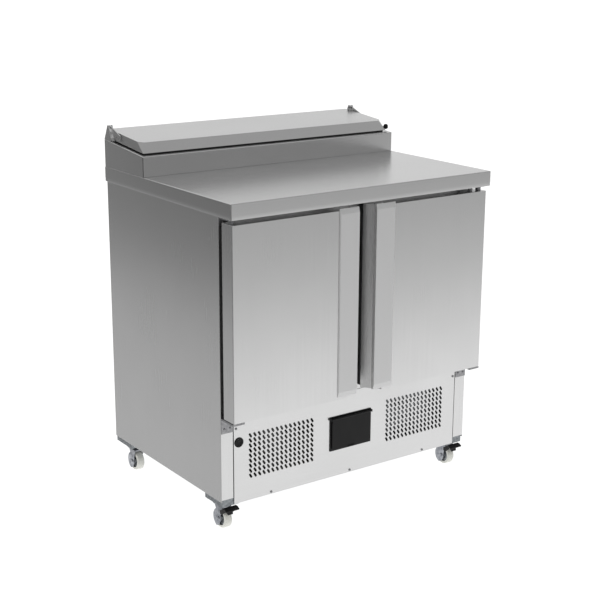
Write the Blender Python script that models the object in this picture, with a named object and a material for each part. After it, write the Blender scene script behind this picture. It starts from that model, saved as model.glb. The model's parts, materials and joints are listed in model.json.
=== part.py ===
"""Two-door refrigerated sandwich prep table on casters.

Metres, +Z up. X runs across the front, the doors face -Y, and the origin is on the
floor under the middle of the table. Every named object is one separate piece.
"""
import math

import bmesh
import bpy
from mathutils import Matrix, Vector

# ---- driving dimensions -------------------------------------------------
WIDTH = 0.900
DEPTH = 0.700
FRONT_Y = -DEPTH / 2
BACK_Y = DEPTH / 2
GAP = 0.0003
SHEET = 0.0015

WORKTOP_TOP = 0.947
WORKTOP_SKIRT = 0.044
WORKTOP_UNDER = WORKTOP_TOP - WORKTOP_SKIRT
SEAT_DROP = 0.0004

CASE_HALF_X = 0.444
CASE_FRONT_Y = FRONT_Y + 0.073
CASE_BOTTOM = 0.095
BASE_BOTTOM = 0.082
TRAY_BOTTOM = 0.0955
TRAY_TOP = 0.1005
STRIP_INNER_X = 0.405
STRIP_BOTTOM = 0.101
MACHINE_ROOM_TOP = 0.336
FRAME_BACK_Y = CASE_FRONT_Y + 0.012

DOOR_OUTER_X = 0.442
DOOR_TOP = 0.888
DOOR_BOTTOM = 0.345
DOOR_FRONT_Y = FRONT_Y + 0.009
DOOR_BACK_Y = FRONT_Y + 0.060
DOOR_AXIS_X = 0.430
DOOR_AXIS_Y = FRONT_Y + 0.032
RECESS_BACK_X = 0.022
RECESS_FRONT_X = 0.062
SEAL_WIDTH = 0.014
SEAL_MARGIN = 0.004
PANEL_MARGIN = 0.020
HINGE_PIN_R = 0.004

HANDLE_INNER_X = 0.030
HANDLE_OUTER_X = 0.098
HANDLE_FRONT_Y = FRONT_Y + 0.005
HANDLE_LIP_Y = FRONT_Y + 0.018
HANDLE_TOP = 0.894
HANDLE_BOTTOM = 0.351

COLLAR_FRONT_Y = FRONT_Y + 0.462
COLLAR_BACK_Y = FRONT_Y + 0.696
RIM_FRONT_Z = WORKTOP_TOP + 0.059
RIM_TILT = math.atan2(0.0223, 0.2336)
RIM_OPENING_HALF_X = 0.4075
RIM_OPENING = (0.028, 0.206)
LEDGE_DEPTH = 0.012

PAN_COUNT = 5
PAN_PITCH = 0.1625
PAN_HALF_X = 0.081
PAN_HALF_S = 0.088
PAN_DEPTH = 0.100

LID_HALF_X = 0.438
LID_BOTTOM_T = 0.004
LID_TOP_T = 0.031
LID_BACK_S = 0.230
LID_AXIS_S = 0.214
LID_AXIS_T = 0.038
LID_KNOB_R = 0.0083

LINER_HALF_X = 0.4030
LINER_Z = (0.3763, 0.8637)
LINER_BACK_Y = 0.3215
WELL_FRONT_Y = 0.1430
SHELF_Z = 0.600

PANEL_HALF_X = 0.4025
SLOT_PITCH = 0.015
SLOT_COLUMNS = 15
SLOT_ROWS = 9
SLOT_WIDTH = 0.0060
SLOT_LENGTH = 0.0148
SLOT_LEAN = math.radians(30)
VENT_X = 0.243
VENT_Z = 0.214

CONTROL_HALF_X = 0.075
CONTROL_Z = (0.163, 0.268)
CONTROL_FACE_Y = CASE_FRONT_Y - 0.0025
FLAP_AXIS_Y = CONTROL_FACE_Y - 0.004
FLAP_AXIS_Z = 0.2615
BUTTON_R = 0.0045
BUTTON_X = (-0.030, 0.000, 0.030)
BUTTON_Z = 0.184
SWITCH_X = -0.386
SWITCH_Z = 0.262
SWITCH_R = 0.0145

CASTER_X = 0.413
CASTER_Y = (CASE_FRONT_Y + 0.058, BACK_Y - 0.061)
CASTER_PLATE_Z = 0.079
WHEEL_R = 0.031
WHEEL_HALF_W = 0.0115
WHEEL_TRAIL = 0.015
AXLE_R = 0.005
PEDAL_PIVOT = (-0.017, 0.055)

FAN_X = 0.240
FAN_Z = 0.210
EVAPORATOR_Z = 0.735

TILT = Matrix.Translation((0.0, COLLAR_FRONT_Y, RIM_FRONT_Z)) @ Matrix.Rotation(RIM_TILT, 4, "X")

# ---- finishes: colour, metallic, roughness ------------------------------
FINISHES = {
    "stainless": ((0.60, 0.60, 0.60), 1.0, 0.32),
    "stainless_dark": ((0.40, 0.40, 0.41), 1.0, 0.40),
    "rubber": ((0.02, 0.02, 0.02), 0.0, 0.70),
    "plastic_black": ((0.015, 0.015, 0.017), 0.0, 0.35),
    "plastic_white": ((0.75, 0.75, 0.74), 0.0, 0.45),
    "foam": ((0.78, 0.70, 0.45), 0.0, 0.90),
    "painted_black": ((0.02, 0.02, 0.02), 0.0, 0.45),
    "aluminium": ((0.72, 0.73, 0.74), 1.0, 0.40),
    "zinc": ((0.48, 0.51, 0.56), 1.0, 0.38),
    "tyre": ((0.62, 0.63, 0.60), 0.0, 0.60),
    "food_steel": ((0.66, 0.66, 0.66), 1.0, 0.22),
}


def make_materials():
    """One Principled material for each finish."""
    made = {}
    for name, (colour, metallic, roughness) in FINISHES.items():
        material = bpy.data.materials.new(name)
        material.use_nodes = True
        shader = material.node_tree.nodes["Principled BSDF"]
        shader.inputs["Base Color"].default_value = (*colour, 1.0)
        shader.inputs["Metallic"].default_value = metallic
        shader.inputs["Roughness"].default_value = roughness
        made[name] = material
    return made


# ---- mesh tools ---------------------------------------------------------
def loft(rings, closed=False):
    """Skin a row of equal-length point rings, capped at both ends unless closed."""
    bm = bmesh.new()
    rows = [[bm.verts.new(p) for p in ring] for ring in rings]
    pairs = list(zip(rows, rows[1:]))
    if closed:
        pairs.append((rows[-1], rows[0]))
    for low, high in pairs:
        count = len(low)
        for i in range(count):
            j = (i + 1) % count
            bm.faces.new((low[i], low[j], high[j], high[i]))
    if not closed:
        bm.faces.new(rows[0])
        bm.faces.new(rows[-1])
    bmesh.ops.recalc_face_normals(bm, faces=bm.faces)
    return bm


def block(x, y, z):
    """A box from three (low, high) pairs."""
    ring = [(x[0], y[0]), (x[1], y[0]), (x[1], y[1]), (x[0], y[1])]
    return loft([[(px, py, h) for px, py in ring] for h in z])


def prism(outline, span, axis):
    """An outline pushed along one axis; its pairs are the other two axes in X, Y, Z order."""
    def point(a, b, h):
        return {"X": (h, a, b), "Y": (a, h, b), "Z": (a, b, h)}[axis]
    return loft([[point(a, b, h) for a, b in outline] for h in span])


def turned(profile, centre, axis, sides, closed=False):
    """A profile of (radius, height) turned about an axis through centre."""
    rings = []
    for radius, height in profile:
        ring = []
        for i in range(sides):
            angle = 2 * math.pi * (i + 0.5) / sides
            a, b = radius * math.cos(angle), radius * math.sin(angle)
            offset = {"X": (height, a, b), "Y": (a, height, b), "Z": (a, b, height)}[axis]
            ring.append(Vector(centre) + Vector(offset))
        rings.append(ring)
    return loft(rings, closed)


def rod(centre, radius, span, axis, sides=16):
    """A round bar; span is measured along the axis from centre."""
    return turned([(radius, span[0]), (radius, span[1])], centre, axis, sides)


def moved(bm, matrix):
    """The same mesh carried by a matrix."""
    bmesh.ops.transform(bm, matrix=matrix, verts=bm.verts)
    return bm


def gathered(meshes):
    """Several meshes as one, for a cutter with many teeth."""
    whole = bmesh.new()
    for bm in meshes:
        scratch = bpy.data.meshes.new("scratch")
        bm.to_mesh(scratch)
        bm.free()
        whole.from_mesh(scratch)
        bpy.data.meshes.remove(scratch)
    return whole


def mirrored_outline(outline, side):
    """An outline's first coordinate times side."""
    return [(side * a, b) for a, b in outline]


def spread(side, near, far):
    """The ordered pair side*near, side*far."""
    return tuple(sorted((side * near, side * far)))


class Builder:
    """Makes named objects and keeps their cutters."""

    def __init__(self):
        self.materials = make_materials()
        self.cutters = 0

    def pivot(self, name, place):
        """An empty on a joint's axis."""
        empty = bpy.data.objects.new(name, None)
        empty.location = place
        empty.empty_display_size = 0.03
        bpy.context.collection.objects.link(empty)
        return empty

    def piece(self, name, bm, finish, pivot=None):
        """A named object from a mesh in world coordinates."""
        origin = pivot.location.copy() if pivot else Vector((0.0, 0.0, 0.0))
        bmesh.ops.translate(bm, vec=-origin, verts=bm.verts)
        mesh = bpy.data.meshes.new(name)
        bm.to_mesh(mesh)
        bm.free()
        mesh.materials.append(self.materials[finish])
        mesh.shade_smooth()
        mesh.set_sharp_from_angle(angle=math.radians(35))
        obj = bpy.data.objects.new(name, mesh)
        bpy.context.collection.objects.link(obj)
        obj.parent = pivot
        return obj

    def shape(self, obj, bm, operation):
        """Cut, join or trim obj with a hidden mesh."""
        self.cutters += 1
        mesh = bpy.data.meshes.new(f"tool_{self.cutters:03d}")
        bm.to_mesh(mesh)
        bm.free()
        tool = bpy.data.objects.new(mesh.name, mesh)
        tool.hide_render = True
        tool.display_type = "WIRE"
        bpy.context.collection.objects.link(tool)
        modifier = obj.modifiers.new(operation.lower(), "BOOLEAN")
        modifier.operation = operation
        modifier.solver = "EXACT"
        modifier.object = tool
        return obj

    def cut(self, obj, bm):
        """Take bm's volume away."""
        return self.shape(obj, bm, "DIFFERENCE")

    def join(self, obj, bm):
        """Add bm's volume."""
        return self.shape(obj, bm, "UNION")

    def trim(self, obj, bm):
        """Keep only what lies inside bm."""
        return self.shape(obj, bm, "INTERSECT")


# ---- casing -------------------------------------------------------------
def side_panels(make):
    """Folded side sheets, each with a strip turned in along the front."""
    for name, side in (("side_panel_left", -1), ("side_panel_right", 1)):
        sheet = spread(side, CASE_HALF_X - SHEET, CASE_HALF_X)
        panel = make.piece(name, block(sheet, (CASE_FRONT_Y, BACK_Y - 0.002),
                                       (CASE_BOTTOM, WORKTOP_UNDER - GAP)), "stainless")
        strip = spread(side, STRIP_INNER_X, CASE_HALF_X - SHEET / 2)
        make.join(panel, block(strip, (CASE_FRONT_Y, CASE_FRONT_Y + SHEET),
                               (STRIP_BOTTOM, WORKTOP_UNDER - GAP)))


def back_panel(make):
    """Flat rear sheet with a cable hole and two rows of air slots."""
    half = CASE_HALF_X - SHEET - GAP
    panel = make.piece("back_panel", block((-half, half), (BACK_Y - SHEET, BACK_Y),
                                           (CASE_BOTTOM, WORKTOP_UNDER - GAP)), "stainless")
    slots = []
    for row in range(6):
        low = 0.150 + 0.026 * row
        for side in (-1, 1):
            slots.append(block(spread(side, 0.07, 0.25), (BACK_Y - 0.01, BACK_Y + 0.01), (low, low + 0.010)))
    slots.append(rod((0.34, BACK_Y, 0.140), 0.0123, (-0.01, 0.01), "Y"))
    make.cut(panel, gathered(slots))


def base_pan(make):
    """Floor tray of the machine room, with a channel at each corner that carries a caster."""
    half = CASE_HALF_X - SHEET - 0.002
    front, back = CASE_FRONT_Y + 0.0035, BACK_Y - 0.002
    pan = make.piece("base_pan", block((-half, half), (front, back), (TRAY_BOTTOM, TRAY_TOP)), "stainless_dark")
    make.cut(pan, block((-half + SHEET, half - SHEET), (front + SHEET, back - SHEET),
                        (TRAY_BOTTOM + SHEET, 0.12)))
    channels = []
    for side in (-1, 1):
        for y in ((front, CASTER_Y[0] + 0.036), (CASTER_Y[1] - 0.036, back)):
            channels.append(block(spread(side, CASTER_X - 0.028, half), y,
                                  (CASTER_PLATE_Z, TRAY_BOTTOM + 0.0005)))
    make.join(pan, gathered(channels))


def door_frame(make):
    """Face frame round the two door openings, with the centre post."""
    half = STRIP_INNER_X - 0.0005
    frame = make.piece("door_frame", block((-half, half), (CASE_FRONT_Y, FRAME_BACK_Y),
                                           (MACHINE_ROOM_TOP + GAP, WORKTOP_UNDER - GAP)), "stainless")
    windows = [block(spread(side, 0.045, 0.3985), (CASE_FRONT_Y - 0.01, FRAME_BACK_Y + 0.01), (0.380, 0.860))
               for side in (-1, 1)]
    make.cut(frame, gathered(windows))


def liner_and_insulation(make):
    """Inner box with a throat under the pans, and the foam that surrounds it."""
    front = FRAME_BACK_Y + GAP
    low, high = LINER_Z
    top = WORKTOP_UNDER - 0.0006
    liner = make.piece("cabinet_liner", block((-LINER_HALF_X, LINER_HALF_X), (front, LINER_BACK_Y), LINER_Z),
                       "stainless")
    inner_x = (-LINER_HALF_X + SHEET, LINER_HALF_X - SHEET)
    make.join(liner, block((-LINER_HALF_X, LINER_HALF_X), (WELL_FRONT_Y, LINER_BACK_Y), (high - 0.01, top)))
    make.cut(liner, block(inner_x, (front - 0.01, LINER_BACK_Y - SHEET), (low + SHEET, high - SHEET)))
    make.cut(liner, block(inner_x, (WELL_FRONT_Y + SHEET, LINER_BACK_Y - SHEET), (high - 0.02, top + 0.01)))
    rails = []
    for side in (-1, 1):
        rails.append(block(spread(side, LINER_HALF_X - 0.012, LINER_HALF_X - 0.0005), (-0.240, 0.230),
                           (SHELF_Z - 0.010, SHELF_Z - GAP)))
    rails.append(block((-0.010, 0.010), (-0.240, LINER_BACK_Y - 0.0005), (SHELF_Z - 0.010, SHELF_Z - GAP)))
    make.join(liner, gathered(rails))

    outer = CASE_HALF_X - SHEET - GAP
    foam = make.piece("cabinet_insulation", block((-outer, outer), (front, BACK_Y - SHEET - GAP),
                                                  (MACHINE_ROOM_TOP + GAP, top)), "foam")
    hollow_x = (-LINER_HALF_X - GAP, LINER_HALF_X + GAP)
    make.cut(foam, block(hollow_x, (front - 0.01, LINER_BACK_Y + GAP), (low - GAP, high + GAP)))
    make.cut(foam, block(hollow_x, (WELL_FRONT_Y - GAP, LINER_BACK_Y + GAP), (high - 0.01, top + 0.01)))


def shelves(make):
    """Two slotted shelves, one behind each door."""
    for name, side in (("shelf_left", -1), ("shelf_right", 1)):
        plate = block(spread(side, 0.004, 0.3995), (-0.250, 0.235), (SHELF_Z, SHELF_Z + 0.005))
        shelf = make.piece(name, plate, "zinc")
        slots = []
        for i in range(12):
            x = 0.020 + 0.0305 * i
            for y in ((-0.240, -0.012), (-0.004, 0.225)):
                slots.append(block(spread(side, x, x + 0.0265), y, (SHELF_Z - 0.01, SHELF_Z + 0.02)))
        make.cut(shelf, gathered(slots))


def worktop(make):
    """Square-edged top, pressed down a little under the collar, with the pan well cut through."""
    half = WIDTH / 2
    seat = WORKTOP_TOP - SEAT_DROP
    levels = [(FRONT_Y, WORKTOP_TOP), (COLLAR_FRONT_Y - 0.001, WORKTOP_TOP), (COLLAR_FRONT_Y, seat),
              (BACK_Y, seat)]
    rings = [[(-half, y, WORKTOP_UNDER), (half, y, WORKTOP_UNDER), (half, y, z), (-half, y, z)]
             for y, z in levels]
    top = make.piece("worktop", loft(rings), "stainless")
    make.cut(top, block((-LINER_HALF_X, LINER_HALF_X), (WELL_FRONT_Y, LINER_BACK_Y),
                        (WORKTOP_UNDER - 0.01, WORKTOP_TOP + 0.01)))


# ---- pan collar, pans and lid -------------------------------------------
def pan_collar(make):
    """Raised box round the pans: four walls, a sloping rim and a sunk ledge."""
    half = WIDTH / 2
    slope = math.tan(RIM_TILT)

    def walls(inset, drop, low):
        front, back = COLLAR_FRONT_Y + inset, COLLAR_BACK_Y - inset
        high = [RIM_FRONT_Z - drop + slope * (y - COLLAR_FRONT_Y) for y in (front, back)]
        outline = [(front, low), (back, low), (back, high[1]), (front, high[0])]
        return prism(outline, (-half + inset, half - inset), "X")

    collar = make.piece("pan_collar", walls(0.0, 0.0, WORKTOP_TOP + GAP), "stainless")
    make.cut(collar, walls(0.002, 0.002, WORKTOP_TOP - 0.01))
    x, (near, far) = RIM_OPENING_HALF_X, RIM_OPENING
    wall = 0.002
    make.join(collar, moved(block((-x - wall, x + wall), (near - wall, far + wall),
                                  (-LEDGE_DEPTH - wall, -0.001)), TILT))
    make.cut(collar, moved(block((-x, x), (near, far), (-LEDGE_DEPTH, 0.02)), TILT))
    make.cut(collar, moved(block((-x + 0.0075, x - 0.0075), (near + 0.008, far - 0.008), (-0.05, 0.02)),
                           TILT))


def food_pans(make):
    """A row of steel pans hanging by their rims from the ledge."""
    middle = sum(RIM_OPENING) / 2
    rim = -LEDGE_DEPTH + 0.0004
    rows = [(0.0665, 0.0735, rim - PAN_DEPTH + 0.0015), (0.0710, 0.0780, rim + 0.003),
            (PAN_HALF_X, PAN_HALF_S, rim + 0.003), (PAN_HALF_X, PAN_HALF_S, rim),
            (0.0722, 0.0792, rim), (0.0680, 0.0750, rim - PAN_DEPTH)]
    for index in range(PAN_COUNT):
        x = PAN_PITCH * (index - (PAN_COUNT - 1) / 2)
        corners = ((-1, -1), (1, -1), (1, 1), (-1, 1))
        rings = [[(x + u * a, middle + v * b, t) for u, v in corners] for a, b, t in rows]
        make.piece(f"food_pan_{index + 1}", moved(loft(rings), TILT), "food_steel")


def lid(make):
    """Insulated lid with a sloped front, its seal, two hinge arms and the lifting knob."""
    axis = make.pivot("lid_axis", TILT @ Vector((0.0, LID_AXIS_S, LID_AXIS_T)))
    outline = [(0.019, LID_BOTTOM_T), (0.040, LID_TOP_T), (LID_BACK_S, LID_TOP_T),
               (LID_BACK_S, 0.012), (LID_AXIS_S, LID_BOTTOM_T)]
    shell = make.piece("lid_shell", moved(prism(outline, (-LID_HALF_X, LID_HALF_X), "X"), TILT),
                       "stainless", axis)
    corners = []
    for side in (-1, 1):
        corners.append(moved(block(spread(side, 0.4335, 0.45), (0.186, 0.25), (-0.01, 0.05)), TILT))
        low = [(side * LID_HALF_X, 0.019, LID_BOTTOM_T - 0.0002)] * 3
        foot, edge, front = low[0], (side * LID_HALF_X, 0.056, LID_TOP_T), (side * 0.424, 0.040, LID_TOP_T)
        corners.append(moved(corner_wedge(foot, edge, front, side), TILT))
    make.cut(shell, gathered(corners))

    x, near, far = 0.430, 0.021, 0.2135
    seal = make.piece("lid_seal", moved(block((-x, x), (near, far), (GAP, LID_BOTTOM_T - GAP)), TILT),
                      "rubber", axis)
    make.cut(seal, moved(block((-x + 0.0205, x - 0.0205), (near + 0.0065, far - 0.0065), (-0.01, 0.02)),
                         TILT))

    for name, side in (("lid_arm_left", -1), ("lid_arm_right", 1)):
        eye = arc((LID_AXIS_S, LID_AXIS_T), 0.007, -60, 130, 6)
        plate = [(0.150, 0.010), (0.180, 0.010)] + eye + [(0.150, 0.027)]
        arm = make.piece(name, moved(prism(plate, spread(side, 0.4405, 0.4435), "X"), TILT),
                         "stainless_dark", axis)
        make.join(arm, moved(block(spread(side, LID_HALF_X + GAP, 0.4410), (0.152, 0.180), (0.011, 0.026)),
                             TILT))
        make.cut(arm, moved(rod((0.0, LID_AXIS_S, LID_AXIS_T), 0.0032, spread(side, 0.43, 0.46), "X", 12),
                            TILT))

    profile = [(0.004, LID_HALF_X + GAP), (0.004, 0.4405), (LID_KNOB_R, 0.4415), (LID_KNOB_R, 0.4485),
               (LID_KNOB_R - 0.002, 0.4500)]
    knob = turned(profile, (0.0, 0.0275, 0.0130), "X", 20)
    make.piece("lid_knob", moved(knob, TILT), "plastic_black", axis)


def arc(centre, radius, start, end, steps):
    """Points on an arc, in degrees, from start to end."""
    angles = [math.radians(start + (end - start) * i / steps) for i in range(steps + 1)]
    return [(centre[0] + radius * math.cos(a), centre[1] + radius * math.sin(a)) for a in angles]


def corner_wedge(foot, edge, front, side):
    """A slab whose inner face runs through three points, for one cut corner of the lid."""
    a, b, c = Vector(foot), Vector(edge), Vector(front)
    normal = (b - a).cross(c - a).normalized()
    if normal.x * side < 0:
        normal.negate()
    middle = (a + b + c) / 3
    along = (b - a).normalized()
    across = normal.cross(along)
    ring = [middle + 0.06 * (u * along + v * across) for u, v in ((-1, -1), (1, -1), (1, 1), (-1, 1))]
    return loft([ring, [p + 0.03 * normal for p in ring]])


def lid_brackets(make):
    """Fixed pairs of triangular ears at the collar's back corners, with their pins."""
    for name, side in (("lid_hinge_bracket_left", -1), ("lid_hinge_bracket_right", 1)):
        x_in, x_out = 0.4355, 0.4495
        foot = make.piece(name, moved(block(spread(side, x_in, x_out), (0.193, 0.2345), (GAP, 0.0023)), TILT),
                          "stainless_dark")
        ear = [(0.193, GAP + 0.0002), (0.2343, GAP + 0.0002)] + arc((LID_AXIS_S, 0.041), 0.005, 20, 160, 4)
        plates = [moved(prism(ear, spread(side, a, b), "X"), TILT)
                  for a, b in ((x_in + 0.0001, x_in + 0.0021), (x_out - 0.0021, x_out - 0.0001))]
        make.join(foot, gathered(plates))
        make.join(foot, moved(rod((0.0, LID_AXIS_S, LID_AXIS_T), 0.0028,
                                  spread(side, x_in + 0.001, x_out - 0.001), "X", 12), TILT))


# ---- doors --------------------------------------------------------------
def doors(make):
    """Two foam-filled doors with a slanted finger recess, each with its seal and handle."""
    for word, side in (("left", -1), ("right", 1)):
        axis = make.pivot(f"door_{word}_axis", (side * DOOR_AXIS_X, DOOR_AXIS_Y, DOOR_BOTTOM))
        outline = [(DOOR_OUTER_X, DOOR_FRONT_Y + 0.002), (DOOR_OUTER_X, DOOR_BACK_Y),
                   (RECESS_BACK_X, DOOR_BACK_Y), (RECESS_FRONT_X, DOOR_FRONT_Y + 0.005),
                   (RECESS_FRONT_X, DOOR_FRONT_Y), (DOOR_OUTER_X - 0.002, DOOR_FRONT_Y)]
        slab = prism(mirrored_outline(outline, side), (DOOR_BOTTOM, DOOR_TOP), "Z")
        shell = make.piece(f"door_{word}_shell", slab, "stainless", axis)
        bores = [rod((side * DOOR_AXIS_X, DOOR_AXIS_Y, 0.0), HINGE_PIN_R + 0.0003, span, "Z", 12)
                 for span in ((DOOR_BOTTOM - 0.01, DOOR_BOTTOM + 0.016), (DOOR_TOP - 0.014, DOOR_TOP + 0.01))]
        make.cut(shell, gathered(bores))

        make.piece(f"door_{word}_inner_panel",
                   block(spread(side, 0.042, 0.412), (DOOR_BACK_Y + GAP, DOOR_BACK_Y + 0.008),
                         (DOOR_BOTTOM + PANEL_MARGIN, DOOR_TOP - PANEL_MARGIN)),
                   "plastic_white", axis)

        depth = (DOOR_BACK_Y + GAP, CASE_FRONT_Y - GAP)
        low, high = DOOR_BOTTOM + SEAL_MARGIN, DOOR_TOP - SEAL_MARGIN
        seal = make.piece(f"door_{word}_seal", block(spread(side, 0.026, 0.428), depth, (low, high)),
                          "rubber", axis)
        make.cut(seal, block(spread(side, 0.026 + SEAL_WIDTH, 0.428 - SEAL_WIDTH), (-0.30, -0.26),
                             (low + SEAL_WIDTH, high - SEAL_WIDTH)))
        handle(make, word, side, axis)


def handle(make, word, side, axis):
    """Full-height folded strip, closed and sloped at both ends, overhanging the finger recess."""
    inner, outer = HANDLE_INNER_X, HANDLE_OUTER_X
    low, high = HANDLE_BOTTOM, HANDLE_TOP
    face, lap = HANDLE_FRONT_Y, DOOR_FRONT_Y - GAP
    sheet, slope, nick = 0.0018, 0.020, 0.012
    step = RECESS_FRONT_X + 0.001
    section = [(outer, lap), (outer - 0.0035, face), (inner, face), (inner, HANDLE_LIP_Y),
               (inner + sheet, HANDLE_LIP_Y), (inner + sheet, face + sheet), (step, face + sheet), (step, lap)]
    strip = make.piece(f"door_{word}_handle", prism(mirrored_outline(section, side), (low, high), "Z"),
                       "stainless", axis)
    for z in ((low, low + slope + 0.002), (high - slope - 0.002, high)):
        make.join(strip, block(spread(side, inner + 0.0002, RECESS_FRONT_X - 0.006),
                               (face + 0.0002, HANDLE_LIP_Y), z))
        make.join(strip, block(spread(side, RECESS_FRONT_X - 0.008, step + 0.001), (face + 0.0002, lap), z))
    ends = [(face - 0.001, low + slope), (lap, low), (HANDLE_LIP_Y + 0.01, low),
            (HANDLE_LIP_Y + 0.01, high), (lap, high), (face - 0.001, high - slope)]
    make.trim(strip, prism(ends, (-0.2, 0.2), "X"))
    front = [(inner - 0.01, low + nick), (inner + 0.004, low - 0.002), (0.2, low - 0.002),
             (0.2, high + 0.002), (inner + 0.004, high + 0.002), (inner - 0.01, high - nick)]
    make.trim(strip, prism(mirrored_outline(front, side), (-0.4, -0.3), "Y"))


def door_hinges(make):
    """Pivot brackets above and below each door, each with its pin."""
    for word, side in (("left", -1), ("right", 1)):
        upper = make.piece(f"door_hinge_top_{word}",
                           block(spread(side, 0.418, 0.4435), (-0.330, CASE_FRONT_Y - GAP),
                                 (WORKTOP_UNDER - 0.005, WORKTOP_UNDER - GAP)),
                           "stainless_dark")
        make.join(upper, block(spread(side, 0.430, 0.4435), (CASE_FRONT_Y - 0.0025, CASE_FRONT_Y - GAP),
                               (0.878, WORKTOP_UNDER - 0.001)))
        pin = (side * DOOR_AXIS_X, DOOR_AXIS_Y, 0.0)
        make.join(upper, rod(pin, 2 * HINGE_PIN_R, (DOOR_TOP + GAP, WORKTOP_UNDER - 0.004), "Z", 12))
        make.join(upper, rod(pin, HINGE_PIN_R, (DOOR_TOP - 0.012, DOOR_TOP + 0.002), "Z", 12))

        lower = make.piece(f"door_hinge_bottom_{word}",
                           block(spread(side, 0.406, 0.4435), (-0.339, CASE_FRONT_Y - GAP),
                                 (0.3385, DOOR_BOTTOM - 0.0010)),
                           "stainless_dark")
        make.join(lower, block(spread(side, STRIP_INNER_X + 0.0005, 0.4435),
                               (CASE_FRONT_Y - 0.0025, CASE_FRONT_Y - GAP), (0.298, DOOR_BOTTOM - 0.0015)))
        make.join(lower, rod((side * DOOR_AXIS_X, DOOR_AXIS_Y, 0.0), HINGE_PIN_R, (0.342, 0.358), "Z", 12))


# ---- lower front --------------------------------------------------------
def louvre_panel(make):
    """Machine-room cover with two fields of leaning air slots."""
    y = (CASE_FRONT_Y, CASE_FRONT_Y + SHEET)
    sheet = block((-PANEL_HALF_X, PANEL_HALF_X), y, (BASE_BOTTOM, MACHINE_ROOM_TOP - GAP))
    panel = make.piece("louvre_panel", sheet, "stainless")
    folds = [block(spread(side, PANEL_HALF_X - SHEET, PANEL_HALF_X - 0.0002), (y[0] + 0.0005, y[0] + 0.012),
                   (0.1010, MACHINE_ROOM_TOP - 0.001)) for side in (-1, 1)]
    make.join(panel, gathered(folds))
    long, wide = SLOT_LENGTH / 2, SLOT_WIDTH / 2
    run = (long * math.sin(SLOT_LEAN), -long * math.cos(SLOT_LEAN))
    nib = (wide * math.cos(SLOT_LEAN), wide * math.sin(SLOT_LEAN))
    corners = [(run[0] + nib[0], run[1] + nib[1]), (-run[0] + nib[0], -run[1] + nib[1]),
               (-run[0] - nib[0], -run[1] - nib[1]), (run[0] - nib[0], run[1] - nib[1])]
    holes = []
    for side in (-1, 1):
        for column in range(SLOT_COLUMNS):
            for row in range(SLOT_ROWS):
                x = side * VENT_X + SLOT_PITCH * (column - (SLOT_COLUMNS - 1) / 2)
                z = VENT_Z + SLOT_PITCH * (row - (SLOT_ROWS - 1) / 2)
                holes.append(prism([(x + a, z + b) for a, b in corners], (y[0] - 0.005, y[1] + 0.005), "Y"))
    holes.append(block((-0.0715, 0.0715), (y[0] - 0.005, y[1] + 0.005), (0.1665, 0.2645)))
    holes.append(rod((SWITCH_X, CASE_FRONT_Y, SWITCH_Z), 0.0123, (-0.005, 0.005), "Y"))
    make.cut(panel, gathered(holes))


def controller(make):
    """Thermostat housing with a smoked flap over three keys."""
    face = CONTROL_FACE_Y
    low, high = CONTROL_Z
    bezel = block((-CONTROL_HALF_X, CONTROL_HALF_X), (face, CASE_FRONT_Y - GAP), (low, high))
    body = make.piece("controller_body", bezel, "plastic_black")
    make.join(body, block((-0.0710, 0.0710), (face + 0.001, -0.230), (0.1670, 0.2640)))
    ears = [block(spread(side, 0.0735, CONTROL_HALF_X), (FLAP_AXIS_Y - 0.003, face + 0.001), (0.2575, 0.2655))
            for side in (-1, 1)]
    make.join(body, gathered(ears))
    hollows = [block((-0.066, 0.066), (face - 0.01, face + 0.004), (0.171, 0.253))]
    for x in BUTTON_X:
        hollows.append(rod((x, face, BUTTON_Z), BUTTON_R + 0.0003, (0.0035, 0.0110), "Y", 12))
    for hollow in hollows:
        make.cut(body, hollow)

    for index, x in enumerate(BUTTON_X):
        pivot = make.pivot(f"button_{index + 1}_axis", (x, face + 0.004, BUTTON_Z))
        key = rod((x, face, BUTTON_Z), BUTTON_R, (0.0022, 0.0094), "Y", 12)
        make.piece(f"controller_button_{index + 1}", key, "plastic_white", pivot)

    axis = make.pivot("flap_axis", (0.0, FLAP_AXIS_Y, FLAP_AXIS_Z))
    barrel = rod((0.0, FLAP_AXIS_Y, FLAP_AXIS_Z), 0.0032, (-0.0730, 0.0730), "X", 12)
    flap = make.piece("controller_flap", barrel, "plastic_black", axis)
    make.join(flap, block((-0.0705, 0.0705), (FLAP_AXIS_Y - 0.0005, FLAP_AXIS_Y + 0.0025),
                          (0.1665, FLAP_AXIS_Z)))


def power_switch(make):
    """Round rocker switch at the panel's left edge."""
    face = CASE_FRONT_Y - 0.002
    place = (SWITCH_X, CASE_FRONT_Y, SWITCH_Z)
    rim = [(SWITCH_R, -GAP), (SWITCH_R, -0.0015), (SWITCH_R - 0.001, -0.0025)]
    body = make.piece("power_switch_body", turned(rim, place, "Y", 24), "plastic_black")
    make.join(body, rod(place, 0.0120, (-0.001, 0.022), "Y", 24))
    make.cut(body, block((SWITCH_X - 0.0065, SWITCH_X + 0.0065), (face - 0.01, CASE_FRONT_Y + 0.010),
                         (SWITCH_Z - 0.0102, SWITCH_Z + 0.0102)))
    axis = make.pivot("rocker_axis", (SWITCH_X, CASE_FRONT_Y + 0.004, SWITCH_Z))
    outline = [(0.004, -0.0075), (-0.0062, -0.0090), (-0.0050, 0.0), (-0.0062, 0.0090), (0.004, 0.0075)]
    lean = Matrix.Translation(axis.location) @ Matrix.Rotation(math.radians(7), 4, "X")
    rocker = moved(prism(outline, (-0.0060, 0.0060), "X"), lean)
    make.piece("power_switch_rocker", rocker, "plastic_black", axis)


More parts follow.
